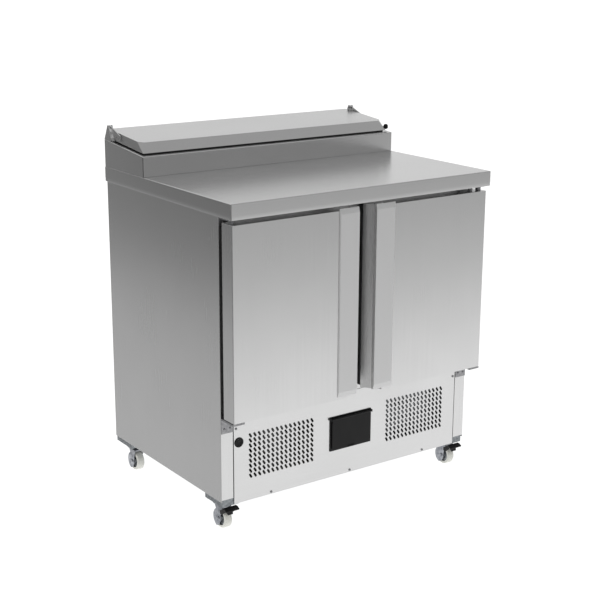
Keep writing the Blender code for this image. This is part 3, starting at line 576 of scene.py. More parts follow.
@dataclass
class Worktop:
    """The flat folded top with a hemmed skirt, and the raised box round the pans."""

    half_x: float = 0.450
    y: tuple[float, float] = (-0.350, 0.350)
    z: tuple[float, float] = (0.903, 0.947)
    well_x: float = 0.403
    well_y: tuple[float, float] = (0.1430, 0.3215)
    fold: float = 2.5 * MM
    hem_height: float = 11 * MM
    hem_lean: float = 0.25 * MM
    opening_x: float = 0.4075
    joint_depth: float = 1.7 * MM
    bead_radius: float = 0.95 * MM
    bead_in: float = 1.45 * MM
    opening_s: tuple[float, float] = (0.028, 0.206)

    def top(self) -> None:
        """The slab: a ring whose section runs up the skirt, over the fold, in to the well and back under."""
        low, high = self.z
        outer = rectangle((-self.half_x, self.half_x), self.y, 3.5 * MM, 5)
        well = rectangle((-self.well_x, self.well_x), self.well_y, 3 * MM, 5)
        turns = np.linspace(0.0, math.pi / 2, 5)
        rings = [placed(inset(outer, self.hem_lean + 0.8 * MM), low, Axis.Z),
                 placed(inset(outer, self.hem_lean), low + 0.8 * MM, Axis.Z),
                 placed(inset(outer, 0.15 * MM), low + self.hem_height - 1.2 * MM, Axis.Z),
                 placed(outer, low + self.hem_height + 0.6 * MM, Axis.Z)]
        rings += [placed(inset(outer, self.fold * (1 - math.cos(t))), high - self.fold * (1 - math.sin(t)),
                         Axis.Z)
                  for t in turns]
        rings += [placed(inset(well, -1.0 * MM), high, Axis.Z), placed(well, high - 1.0 * MM, Axis.Z),
                  placed(well, low, Axis.Z)]
        piece("worktop_folded", skin(np.array(rings), closed=True), STEEL_LENGTHWISE, "cabinet",
              ["worktop"], 50.0)

    def collar(self) -> None:
        """The pan box: walls up to the sloping rim, in to the opening, down to the ledge and back beneath.

        Each front corner has an open joint as high as the wall, with a dark bead in it: painted shade that
        stands for the shadow inside the joint.
        """
        y = (TILT.front_y, 0.346)
        outer = rectangle((-self.half_x, self.half_x), y, 2.2 * MM, 5)
        inner = inset(outer, 2.0 * MM)
        jointed = outer.copy()
        for side in (-1, 1):
            away = np.hypot(outer[:, 0] - side * self.half_x, outer[:, 1] - y[0])
            corner = np.argsort(away)[:2]
            jointed[corner] = inset(outer, self.joint_depth)[corner]
        soft = 1.8 * MM
        base = self.z[1] + GAP

        def on_rim(ring: Array, drop: float) -> Array:
            """A plan ring lifted to the rim, less a drop."""
            return placed(ring, TILT.lift(ring[:, 1]) - drop, Axis.Z)

        def sunk(in_by: float, depth: float) -> Array:
            """The opening's ring drawn in and sunk below the rim."""
            ring = rectangle((-self.opening_x, self.opening_x), self.opening_s, 6 * MM, 5)
            ring = placed(inset(ring, in_by), -depth, Axis.Z)
            turn = np.array(TILT.matrix)
            return ring @ turn[:3, :3].T + turn[:3, 3]

        rings = [placed(jointed, base, Axis.Z), on_rim(jointed, soft + 1.0 * MM)]
        rings += [on_rim(inset(outer, soft * (1 - math.cos(t))), soft * (1 - math.sin(t)))
                  for t in np.linspace(0.0, math.pi / 2, 4)]
        rings += [sunk(-1.5 * MM, 0.0), sunk(-0.45 * MM, 0.45 * MM), sunk(0.0, 1.5 * MM), sunk(0.0, 12 * MM),
                  sunk(6.9 * MM, 12 * MM), sunk(7.5 * MM, 12.6 * MM), sunk(7.5 * MM, 14 * MM),
                  sunk(-2 * MM, 14 * MM), sunk(-2 * MM, 3 * MM), on_rim(inner, 2.0 * MM),
                  placed(inner, base, Axis.Z)]
        piece("pan_box", skin(np.array(rings), closed=True), STEEL_LENGTHWISE, "cabinet",
              ["pan_collar"], 50.0)
        # A dark bead down each front corner joint is painted shade, standing for the shadow inside the open
        # joint.
        place = y[0] + self.bead_in
        span = (base + 0.5 * MM, float(TILT.lift(np.array([place]))[0]) - 3.0 * MM)
        beads = [tube(np.array([(side * (self.half_x - self.bead_in), place, z) for z in span]),
                      self.bead_radius)
                 for side in (-1, 1)]
        piece("pan_box_corner_shade_bead", merged(*beads), GASKET, "cabinet")

    def build(self) -> None:
        """Makes both pieces."""
        self.top()
        self.collar()


@dataclass
class FoodPans:
    """Five deep-drawn pans side by side, each with a flat rim and round corners."""

    count: int = 5
    pitch: float = 0.1625
    half_x: float = 0.081
    half_s: float = 0.088
    depth: float = 0.100

    def build(self) -> None:
        """Stacks rounded rectangles into each pan: rim, lip, tapering wall, foot and floor, then outside."""
        middle, rim = 0.117, -12 * MM + 0.4 * MM
        for index in range(self.count):
            x = self.pitch * (index - (self.count - 1) / 2)

            def ring(draw: float, radius: float, t: float) -> Array:
                """A rounded rectangle drawn in from the rim at height t."""
                flat = rectangle((x - self.half_x + draw, x + self.half_x - draw),
                                 (middle - self.half_s + draw, middle + self.half_s - draw), radius, 7)
                return placed(flat, rim + t, Axis.Z)

            foot = -self.depth
            inner = [ring(0.0, 9 * MM, 1.6 * MM), ring(0.9 * MM, 9 * MM, 3.0 * MM),
                     ring(7.8 * MM, 15 * MM, 3.0 * MM), ring(9.3 * MM, 15 * MM, 1.8 * MM),
                     ring(10.0 * MM, 15 * MM, -2 * MM), ring(14.0 * MM, 15 * MM, foot + 14 * MM),
                     ring(16.4 * MM, 14 * MM, foot + 5.4 * MM), ring(22.0 * MM, 10 * MM, foot + 1.4 * MM),
                     ring(30 * MM, 6 * MM, foot + 1.0 * MM)]
            outer = [ring(30 * MM, 6 * MM, foot), ring(21.6 * MM, 10 * MM, foot + 0.4 * MM),
                     ring(15.2 * MM, 14 * MM, foot + 5.0 * MM), ring(13.0 * MM, 15 * MM, foot + 14 * MM),
                     ring(9.0 * MM, 15 * MM, 0.0), ring(0.4 * MM, 9 * MM, 0.0)]
            low = skin(np.array(inner[::-1] + outer[::-1]))
            piece(f"steel_pan_{index + 1}", carried(low, TILT.matrix), STEEL_DRAWN, "cabinet",
                  [f"food_pan_{index + 1}"], 60.0)


@dataclass
class Lid:
    """The insulated lid with its facets, formed inner panel, seal, arms, rivets and knob."""

    axis_s: float = 0.214
    axis_t: float = 0.038
    half_x: float = 0.438

    def inner_panel(self) -> None:
        """A formed tray on the lid's underside, clear of the pan rims."""
        plan = rectangle((-0.4020, 0.4020), (0.0340, 0.2000), 10 * MM, 6)
        step, floor = (rectangle((-0.4020 + d, 0.4020 - d), (0.0340 + d, 0.2000 - d), 4 * MM, 6)
                       for d in (14 * MM, 16 * MM))
        rings = [placed(plan, 3.7 * MM, Axis.Z), placed(plan, 2.6 * MM, Axis.Z),
                 placed(inset(plan, 0.5 * MM), 1.9 * MM, Axis.Z),
                 placed(inset(plan, 1.6 * MM), 1.6 * MM, Axis.Z), placed(step, 1.6 * MM, Axis.Z),
                 placed(floor, 2.6 * MM, Axis.Z)]
        piece("lid_inner_tray", carried(skin(np.array(rings)), TILT.matrix), STEEL_LENGTHWISE, "lid")

    def knob(self) -> None:
        """The round lifting knob on the right end, slightly domed with a waist."""
        start = self.half_x + GAP
        profile = [(4.0 * MM, start), (3.6 * MM, start + 1.4 * MM), (4.2 * MM, start + 2.4 * MM),
                   (7.2 * MM, start + 3.4 * MM), (8.3 * MM, start + 4.8 * MM), (8.3 * MM, start + 8.4 * MM),
                   (7.7 * MM, start + 10.4 * MM), (5.6 * MM, start + 11.3 * MM),
                   (0.4 * MM, start + 11.5 * MM)]
        shape = turned(profile, (0.0, 27.5 * MM, 13.0 * MM), Axis.X, 36)
        piece("lid_lifting_knob", carried(shape, TILT.matrix), BLACK_ABS, "lid",
              ["lid_knob"], 60.0)

    def arm_rivets(self, side: int) -> tuple[Array, list]:
        """Two domed rivets through an arm."""
        heads = []
        for s, t in ((0.158, 0.0185), (0.174, 0.0185)):
            profile = [(2.6 * MM, 0.0), (2.3 * MM, 0.7 * MM), (1.4 * MM, 1.25 * MM), (0.2 * MM, 1.4 * MM)]
            heads.append(turned([(r, side * (0.4436 + h)) for r, h in profile], (0.0, s, t), Axis.X, 14))
        return merged(*heads)

    def build(self) -> None:
        """Makes the lid's pieces."""
        softened("lid_shell", STEEL_LENGTHWISE, "lid", 1.6 * MM, 3)
        softened("lid_seal", GASKET, "lid", 0.8 * MM)
        self.inner_panel()
        self.knob()
        for word, side in (("left", -1), ("right", 1)):
            softened(f"lid_arm_{word}", STEEL_LENGTHWISE, "lid", 0.4 * MM)
            piece(f"lid_arm_rivets_{word}", carried(self.arm_rivets(side), TILT.matrix), STEEL_PLAIN, "lid",
                  angle=60.0)
            softened(f"lid_hinge_bracket_{word}", STEEL_LENGTHWISE, "cabinet", 0.35 * MM)
            head = [(4.2 * MM, 0.0), (4.2 * MM, 0.9 * MM), (3.2 * MM, 1.6 * MM), (0.3 * MM, 1.9 * MM)]
            inward = turned([(r, side * (0.4353 - h)) for r, h in head], (0.0, self.axis_s, self.axis_t),
                            Axis.X, 20)
            piece(f"lid_pin_head_{word}", carried(inward, TILT.matrix), STEEL_PLAIN, "cabinet",
                  angle=60.0)


@dataclass
class Door:
    """One door: folded skin with a slanted finger recess, formed back, bellows seal and handle strip."""

    word: str
    side: int
    front_y: float = -0.341
    back_y: float = -0.290
    z: tuple[float, float] = (0.345, 0.888)
    outer_x: float = 0.442
    recess: tuple[float, float] = (0.022, 0.062)

    @property
    def body(self) -> str:
        """The body that the door's pieces ride on."""
        return f"door_{self.word}"

    def skin_sheet(self) -> None:
        """The plan outline with rounded folds, pushed up the door's height."""
        corners = [(self.outer_x, self.front_y), (self.outer_x, self.back_y), (self.recess[0], self.back_y),
                   (self.recess[1], self.front_y + 5 * MM), (self.recess[1], self.front_y)]
        plan = rounded(corners, [2.4 * MM, 1.2 * MM, 1.0 * MM, 1.6 * MM, 1.0 * MM], 5)
        shape = extruded(plan, self.z, Axis.Z, 0.9 * MM, 3)
        piece(f"door_skin_{self.word}", mirrored(shape, self.side), STEEL_UPRIGHT, self.body,
              [f"door_{self.word}_shell"], 50.0)

    def formed_back(self) -> None:
        """A vacuum-formed panel: a flat border and a raised field with soft edges."""
        level = self.back_y + GAP
        steps = [(0.0, 0.0), (0.0, 1.6), (0.8, 2.4), (17.0, 2.4), (19.5, 3.2), (24.0, 6.4), (27.0, 7.4)]
        rings = []
        for draw, rise in steps:
            near = draw * MM
            x, z = (0.044 + near, 0.410 - near), (self.z[0] + 22 * MM + near, self.z[1] - 22 * MM - near)
            rings.append(placed(rectangle(x, z, max(14 * MM - near, 5 * MM), 7), level + rise * MM, Axis.Y))
        piece(f"door_back_{self.word}", mirrored(skin(np.array(rings)), self.side), WHITE_HIPS, self.body,
              [f"door_{self.word}_inner_panel"], 60.0)

    def seal(self) -> None:
        """The bellows section carried round the door and closed on itself."""
        section = [(0.0, 0.0), (13.5, 0.0), (13.5, 2.2), (11.2, 3.6), (11.2, 4.6), (13.6, 6.4), (13.6, 11.2),
                   (12.4, 12.2), (1.4, 12.2), (0.2, 11.2), (0.2, 6.4), (2.6, 4.6), (2.6, 3.6), (0.0, 2.2)]
        level = self.back_y + GAP
        margin = 4.3 * MM
        rings = []
        for draw, depth in section:
            x = (0.0263 + draw * MM, 0.4277 - draw * MM)
            z = (self.z[0] + margin + draw * MM, self.z[1] - margin - draw * MM)
            rings.append(placed(rectangle(x, z, 2.0 * MM, 4), level + depth * MM, Axis.Y))
        shape = skin(np.array(rings), closed=True)
        piece(f"door_gasket_{self.word}", mirrored(shape, self.side), GASKET, self.body,
              [f"door_{self.word}_seal"], 45.0)

    def build(self) -> None:
        """Makes the door's pieces."""
        self.skin_sheet()
        self.formed_back()
        self.seal()
        softened(f"door_{self.word}_handle", STEEL_SATIN, self.body, 0.7 * MM, 3)
        softened(f"door_hinge_top_{self.word}", STEEL_PLAIN, "cabinet", 0.3 * MM)
        softened(f"door_hinge_bottom_{self.word}", STEEL_PLAIN, "cabinet", 0.4 * MM)
        screws = [screw((self.side * x, -0.2797, 0.312), Axis.Y, -1.0, 3.0 * MM) for x in (0.415, 0.434)]
        piece(f"hinge_screws_{self.word}", merged(*screws), STEEL_PLAIN, "cabinet", angle=60.0)


@dataclass
class LouvrePanel:
    """The machine-room cover: one flat sheet pierced by leaning slots with pressed rims."""

    half_x: float = 0.4025
    z: tuple[float, float] = (0.082, 0.3357)
    y: float = -0.277
    sheet: float = 1.2 * MM
    pitch: float = 15 * MM
    columns: int = 15
    rows: int = 9
    vent_x: float = 0.243
    vent_z: float = 0.214
    window_x: float = 0.0715
    window_z: tuple[float, float] = (0.1665, 0.2645)
    slot_width: float = 6.0 * MM
    slot_length: float = 15.2 * MM
    lean: float = math.radians(30)
    steps: int = 5

    def slot(self, grow: float) -> Array:
        """A slot's outline: two half circles joined by straight sides, leaning, wider all round by grow."""
        radius = self.slot_width / 2
        reach = self.slot_length / 2 - radius
        turn = np.linspace(-math.pi / 2, math.pi / 2, self.steps)
        upper = np.stack([np.sin(turn), np.cos(turn)], 1) * (radius + grow) + [0.0, reach]
        outline = np.concatenate([upper[::-1], -upper[::-1]])
        cos, sin = math.cos(self.lean), math.sin(self.lean)
        return outline @ np.array([[cos, -sin], [sin, cos]]).T

    def tile(self) -> tuple[Array, list]:
        """One square of sheet with its slot.

        The square's four corners come first, then the slot's ring at the face, at the rim's fold and at
        the back. Each ring point joins the corner that its direction falls nearest to, and each change of
        corner adds a face on that side of the square.

        Returns:
            Points in X, Z and depth, and the faces on the front with those of the rim.
        """
        half = self.pitch / 2
        square = np.array([[-half, -half], [half, -half], [half, half], [-half, half]])
        rings = [(self.slot(0.45 * MM), 0.0), (self.slot(0.15 * MM), 0.15 * MM), (self.slot(0.0), 0.6 * MM),
                 (self.slot(0.0), 2.6 * MM)]
        size = len(rings[0][0])
        flat = [np.column_stack([square, np.zeros(4)])]
        flat += [np.column_stack([ring, np.full(size, depth)]) for ring, depth in rings]
        ring = rings[0][0]
        lean = np.arctan2(ring[:, 1], ring[:, 0])
        near = ((np.floor(lean / (math.pi / 2)) + 2) % 4).astype(int)
        faces = []
        for j in range(size):
            k = (j + 1) % size
            faces.append([4 + j, 4 + k, near[j]])
            if near[j] != near[k]:
                faces.append([4 + k, near[k], near[j]])
        for level in range(len(rings) - 1):
            first, second = 4 + level * size, 4 + (level + 1) * size
            faces += [[first + j, first + (j + 1) % size, second + (j + 1) % size,
                       second + j] for j in range(size)]
        return np.concatenate(flat), faces

    def field_of_slots(self, side: int) -> tuple[Array, list]:
        """The tile repeated over one vent, as one array of offsets added to one tile."""
        points, faces = self.tile()
        column = (np.arange(self.columns) - (self.columns - 1) / 2) * self.pitch + side * self.vent_x
        row = (np.arange(self.rows) - (self.rows - 1) / 2) * self.pitch + self.vent_z
        across, up = np.meshgrid(column, row, indexing="ij")
        shift = np.stack([across.ravel(), up.ravel(), np.zeros(across.size)], 1)
        whole = (points[None] + shift[:, None]).reshape(-1, 3)
        every = []
        for index in range(len(shift)):
            start = index * len(points)
            every += [[start + n for n in face] for face in faces]
        return np.column_stack([whole[:, 0], self.y + whole[:, 2], whole[:, 1]]), every

    def plain(self) -> tuple[Array, list]:
        """The rest of the face as rectangles round the vents and the controller, with edges going back."""
        half_w, half_h = self.columns * self.pitch / 2, self.rows * self.pitch / 2
        x = np.array([-self.half_x, -self.vent_x - half_w, -self.vent_x + half_w, -self.window_x,
                      self.window_x, self.vent_x - half_w, self.vent_x + half_w, self.half_x])
        z = np.array([self.z[0], self.vent_z - half_h, *self.window_z, self.vent_z + half_h, self.z[1]])
        wide, tall = len(x), len(z)
        across, up = np.meshgrid(x, z, indexing="ij")
        front = np.column_stack([across.ravel(), np.full(across.size, self.y), up.ravel()])
        faces = []
        for i in range(wide - 1):
            for j in range(tall - 1):
                if (i in (1, 5) and 0 < j < 4) or (i == 3 and j == 2):
                    continue
                a, b = i * tall + j, (i + 1) * tall + j
                faces.append([a, b, b + 1, a + 1])
        rim = [i * tall for i in range(wide)] + [(wide - 1) * tall + j for j in range(1, tall)]
        rim += [i * tall + tall - 1 for i in range(wide - 2, -1, -1)] + list(range(tall - 2, 0, -1))
        window = [3 * tall + 2, 3 * tall + 3, 4 * tall + 3, 4 * tall + 2]
        points = [front]
        for loop, depth in ((rim, 8 * MM), (window, self.sheet)):
            start, size = sum(len(p) for p in points), len(loop)
            points.append(front[loop] + [0.0, depth, 0.0])
            faces += [[loop[i], start + i, start + (i + 1) % size, loop[(i + 1) % size]] for i in range(size)]
        return np.concatenate(points), faces

    def build(self) -> None:
        """Joins the plain sheet and both vents, then adds the screws."""
        shape = merged(self.plain(), self.field_of_slots(-1), self.field_of_slots(1))
        obj = piece("louvre_sheet", shape, STEEL_LENGTHWISE, "cabinet", ["louvre_panel"],
                    50.0)
        LOG.info("slots cut in %s: %d", obj.name, 2 * self.columns * self.rows)
        places = [(-0.395, 0.3035), (0.395, 0.3035), (-0.279, 0.0885), (0.0, 0.0885), (0.279, 0.0885)]
        heads = [screw((x, self.y - 0.05 * MM, z), Axis.Y, -1.0, 3.8 * MM) for x, z in places]
        piece("louvre_screws", merged(*heads), STEEL_PLAIN, "cabinet", angle=60.0)


@dataclass
class Controls:
    """Thermostat with its window and keys under a hinged flap, and the round power switch."""

    face_y: float = -0.2795
    axis_y: float = -0.2835
    axis_z: float = 0.2615

    def flap(self) -> None:
        """The smoked flap: a rounded plate under a barrel, with a thumb lip at its foot."""
        plate = extruded(rectangle((-0.0703, 0.0703), (0.1667, self.axis_z - 2.5 * MM), 9 * MM, 8),
                         (self.axis_y - 0.5 * MM, self.axis_y + 2.4 * MM), Axis.Y, 1.35 * MM, 4)
        barrel = [(2.2 * MM, -0.0728), (3.1 * MM, -0.0720), (3.1 * MM, 0.0720), (2.2 * MM, 0.0728)]
        roll = turned(barrel, (0.0, self.axis_y, self.axis_z), Axis.X, 24)
        neck = extruded(rectangle((-0.0700, 0.0700), (self.axis_z - 6 * MM, self.axis_z), 0.3 * MM, 2),
                        (self.axis_y - 0.45 * MM, self.axis_y + 2.3 * MM), Axis.Y, 0.3 * MM, 2)
        lip = extruded(rectangle((-0.012, 0.012), (0.1675, 0.1715), 1.6 * MM, 4),
                       (self.axis_y - 2.6 * MM, self.axis_y), Axis.Y, 0.8 * MM, 3)
        piece("smoked_flap", merged(plate, roll, neck, lip), SMOKED, "flap",
              ["controller_flap"], 45.0)

    def build(self) -> None:
        """Makes the controls."""
        softened("controller_body", BLACK_ABS, "cabinet", 2.4 * MM, 4)
        self.flap()
        window = extruded(rectangle((-0.040, 0.040), (0.205, 0.243), 3 * MM, 5),
                          (self.face_y + 2.2 * MM, self.face_y + 3.9 * MM), Axis.Y, 0.5 * MM, 3)
        piece("display_window", window, SMOKED, "cabinet")
        for index, x in enumerate((-0.030, 0.000, 0.030)):
            profile = [(4.5 * MM, 9.4 * MM), (4.5 * MM, 3.2 * MM), (4.2 * MM, 2.5 * MM), (3.2 * MM, 2.2 * MM),
                       (0.3 * MM, 2.4 * MM)]
            shape = turned(profile, (x, self.face_y, 0.184), Axis.Y, 24)
            piece(f"key_{index + 1}", shape, WHITE_HIPS, f"button_{index + 1}",
                  [f"controller_button_{index + 1}"], 50.0)
        softened("power_switch_body", BLACK_ABS, "cabinet", 0.35 * MM)
        softened("power_switch_rocker", SMOKED, "rocker", 0.8 * MM, 3)


@dataclass
class Caster:
    """A swivel caster: bolted plate, race, pressed fork, axle and wheel, and a brake on the front ones."""

    end: str
    word: str
    side: int
    y: float
    x: float = 0.413
    plate_z: float = 0.079
    wheel_r: float = 0.031
    trail: float = 0.015

    @property
    def place(self) -> tuple[float, float, float]:
        """The swivel's centre at the plate."""
        return self.side * self.x, self.y, self.plate_z

    @property
    def wheel_y(self) -> float:
        """The axle's place along Y."""
        return self.y - self.trail

    def fork_leg(self, near: float, far: float) -> tuple[Array, list]:
        """One pressed leg: round behind the wheel, narrow at the axle, wide at the crown."""
        y, z = self.wheel_y, self.wheel_r
        turn = np.radians(np.linspace(-68.0, 62.0, 12))
        back = np.stack([y + 28.3 * MM * np.cos(turn), z + 28.3 * MM * np.sin(turn)], 1)
        rest = np.array([(y + 20 * MM, 0.0680), (y - 19 * MM, 0.0680), (y - 13 * MM, 0.0500),
                         (y - 10.5 * MM, 0.0390), (y - 10 * MM, 0.0240), (y - 3 * MM, 0.0110)])
        outline = np.concatenate([back, rest])
        x = self.side * self.x
        return extruded(outline, (x + near, x + far), Axis.X, 0.5 * MM, 3)

    def fork(self) -> None:
        """The crown, both legs, the race under the plate and the axle bolt."""
        x, y, top = self.place
        race = [(7 * MM, -9.6 * MM), (19.0 * MM, -9.6 * MM), (20.4 * MM, -8.4 * MM), (21.6 * MM, -6.4 * MM),
                (22.3 * MM, -3.6 * MM), (22.3 * MM, -2.4 * MM), (20.5 * MM, -1.9 * MM),
                (20.0 * MM, -0.9 * MM), (18.5 * MM, -GAP), (6 * MM, -GAP)]
        crown = extruded(rectangle((x - 15.4 * MM, x + 15.4 * MM),
                                   (self.wheel_y - 19 * MM, self.wheel_y + 21 * MM), 5 * MM, 5),
                         (0.0655, 0.0698), Axis.Z, 1.0 * MM, 3)
        axle_profile = [(0.3, -18.4), (3.2, -18.2), (4.4, -17.2), (4.4, -15.8), (2.6, -15.6), (2.6, 15.6),
                        (4.6, 15.8), (4.6, 18.0), (2.4, 18.4), (0.3, 18.5)]
        axle = turned([(r * MM, h * MM) for r, h in axle_profile], (x, self.wheel_y, self.wheel_r), Axis.X,
                      12)
        legs = [self.fork_leg(a * MM, b * MM) for a, b in ((-15.6, -13.8), (13.8, 15.6))]
        shape = merged(turned(race, (x, y, top), Axis.Z, 36), crown, axle, *legs)
        piece(f"fork_{self.end}_{self.word}", shape, ZINC, f"fork_{self.end}_{self.word}",
              [f"caster_fork_{self.end}_{self.word}"], 45.0)

    def wheel(self) -> None:
        """The tread and the hub, one turned section each."""
        centre = (self.side * self.x, self.wheel_y, self.wheel_r)
        half = [(22.0, 9.5), (22.3, 11.0), (23.5, 11.5), (27.2, 11.5), (29.0, 11.0), (30.4, 9.0), (30.8, 6.0)]
        section = half + [(r, -h) for r, h in reversed(half)]
        tread = turned([(r * MM, h * MM) for r, h in section], centre, Axis.X, 48, closed=True)
        hub_half = [(5.4, 12.4), (8.6, 12.4), (9.4, 11.6), (10.0, 8.0), (19.5, 7.2), (20.5, 9.0), (21.9, 9.6)]
        hub_section = hub_half + [(r, -h) for r, h in reversed(hub_half)]
        hub = turned([(r * MM, h * MM) for r, h in hub_section], centre, Axis.X, 40, closed=True)
        body = f"wheel_{self.end}_{self.word}"
        piece(f"tread_{self.end}_{self.word}", tread, TREAD, body,
              [f"caster_wheel_{self.end}_{self.word}"], 50.0)
        piece(f"hub_{self.end}_{self.word}", hub, GALVANISED, body, angle=50.0)

    def plate(self) -> None:
        """Four hexagon bolts through the caster's plate."""
        x, y, top = self.place
        heads = []
        for dx in (-21 * MM, 21 * MM):
            for dy in (-27 * MM, 27 * MM):
                profile = [(4.6 * MM, 0.0), (4.6 * MM, -2.6 * MM), (3.8 * MM, -3.1 * MM),
                           (0.3 * MM, -3.2 * MM)]
                heads.append(turned(profile, (x + dx, y + dy, top), Axis.Z, 6))
        piece(f"caster_bolts_{self.end}_{self.word}", merged(*heads), ZINC, "cabinet")

    def brake(self) -> None:
        """The pedal: a ribbed tread plate sloping to a rounded lip, cheeks to the studs and a lower toe."""
        x, y = self.side * self.x, self.wheel_y
        pivot_y, pivot_z = y - 17 * MM, 0.055
        plate = rounded([(y - 52 * MM, 0.0655), (y - 52 * MM, 0.0698), (y - 43 * MM, 0.0745),
                         (y - 34 * MM, 0.0745), (y - 34 * MM, 0.0700)], 1.4 * MM, 4)
        tread = extruded(plate, (x - 22 * MM, x + 22 * MM), Axis.X, 2.0 * MM, 4)
        cheeks = []
        for near, far in ((-18.2, -16.0), (16.0, 18.2)):
            cheek = rounded([(y - 44 * MM, 0.0705), (y - 35 * MM, 0.0724),
                             (pivot_y + 6 * MM, pivot_z + 4 * MM), (pivot_y + 4 * MM, pivot_z - 6 * MM),
                             (pivot_y - 6 * MM, pivot_z - 6 * MM), (y - 38 * MM, 0.0612)], 1.6 * MM, 3)
            cheeks.append(extruded(cheek, (x + near * MM, x + far * MM), Axis.X, 0.5 * MM, 2))
        toe = rounded([(y - 50 * MM, 0.0568), (y - 45 * MM, 0.0550), (y - 40 * MM, 0.0590),
                       (y - 39 * MM, 0.0695), (y - 49 * MM, 0.0685)], 1.8 * MM, 4)
        lower = extruded(toe, (x - 14 * MM, x + 2 * MM), Axis.X, 1.2 * MM, 3)
        ribs = [extruded(rectangle((x - 18 * MM, x + 18 * MM),
                                   (y - (42 - 3 * i) * MM, y - (40.8 - 3 * i) * MM), 0.5 * MM, 3),
                         (0.0738, 0.0750), Axis.Z, 0.4 * MM, 2) for i in range(2)]
        piece(f"brake_pedal_{self.word}", merged(tread, lower, *cheeks, *ribs), BLACK_ABS,
              f"brake_{self.word}", [f"caster_brake_{self.word}"], 45.0)

    def build(self) -> None:
        """Makes the caster's pieces."""
        self.fork()
        self.wheel()
        self.plate()
        if self.end == "front":
            self.brake()


@dataclass
class Cabinet:
    """Casing, inside and machinery."""

    plain_nodes: dict = field(default_factory=lambda: {
        "cabinet_insulation": FOAM, "compressor": POWDER_BLACK, "condenser_fan_motor": POWDER_BLACK,
        "condenser_coil": FINS, "condenser_fan": BLACK_ABS, "evaporator_fan": BLACK_ABS,
        "cable_gland": BLACK_ABS,
    })

    def shelf(self, word: str, side: int) -> None:
        """A wire shelf: two stout cross wires under a row of thin ones, all inside the shelf's own height."""
        low, high = 0.6002, 0.6048
        wires = []
        for x in np.linspace(0.010, 0.394, 15):
            path = np.stack([np.full(12, side * x), np.linspace(-0.248, 0.233, 12),
                             np.full(12, high - 1.3 * MM)], 1)
            wires.append(tube(path, 1.3 * MM, 8))
        for y in (-0.2475, -0.090, 0.075, 0.2325):
            path = np.stack([side * np.linspace(0.006, 0.398, 12), np.full(12, y),
                             np.full(12, low + 1.6 * MM)], 1)
            wires.append(tube(path, 1.6 * MM, 8))
        piece(f"wire_shelf_{word}", merged(*wires), WIRE_COAT, "cabinet", [f"shelf_{word}"],
              60.0)

    def fan_guard(self) -> None:
        """Rings and spokes of wire over the evaporator fan."""
        wires = []
        for radius in (18, 32, 46, 60, 74):
            angle = np.linspace(0.0, TURN, 49)
            path = np.stack([radius * MM * np.cos(angle), np.full(49, 0.2515),
                             0.735 + radius * MM * np.sin(angle)], 1)
            wires.append(tube(path, 1.0 * MM, 6))
        for turn in np.arange(4) * TURN / 8:
            reach = np.linspace(-78 * MM, 78 * MM, 12)
            path = np.stack([reach * math.cos(turn), np.full(12, 0.2535), 0.735 + reach * math.sin(turn)], 1)
            wires.append(tube(path, 1.0 * MM, 6))
        piece("evaporator_guard", merged(*wires), ZINC, "cabinet", angle=60.0)

    def build(self) -> None:
        """Makes and dresses the pieces."""
        for node, finish in self.plain_nodes.items():
            dressed(node, finish)
        for word in ("left", "right"):
            softened(f"side_panel_{word}", STEEL_UPRIGHT, "cabinet", 0.6 * MM)
        rear = softened("back_panel", STEEL_UPRIGHT, "cabinet", 0.3 * MM)
        # The rear sheet sits a little in, so that its flush screws show and stay within the cabinet's depth.
        rear.data.transform(Matrix.Translation((0.0, -0.25 * MM, 0.0)))
        softened("base_pan", GALVANISED, "cabinet", 0.4 * MM)
        softened("door_frame", STEEL_UPRIGHT, "cabinet", 0.8 * MM)
        softened("cabinet_liner", STEEL_LENGTHWISE, "cabinet", 0.4 * MM)
        softened("evaporator_coil", FINS, "cabinet", 0.6 * MM)
        self.shelf("left", -1)
        self.shelf("right", 1)
        self.fan_guard()
        places = [(x, 0.3502, z) for x in (-0.425, 0.425) for z in (0.115, 0.36, 0.62, 0.88)]
        heads = [screw(place, Axis.Y, 1.0, 3.6 * MM) for place in places]
        flush = [(points - [0.0, 2.5 * MM, 0.0], faces) for points, faces in heads]
        piece("back_screws", merged(*flush), STEEL_PLAIN, "cabinet", angle=60.0)


# ------------------------------------------------------------------ studio


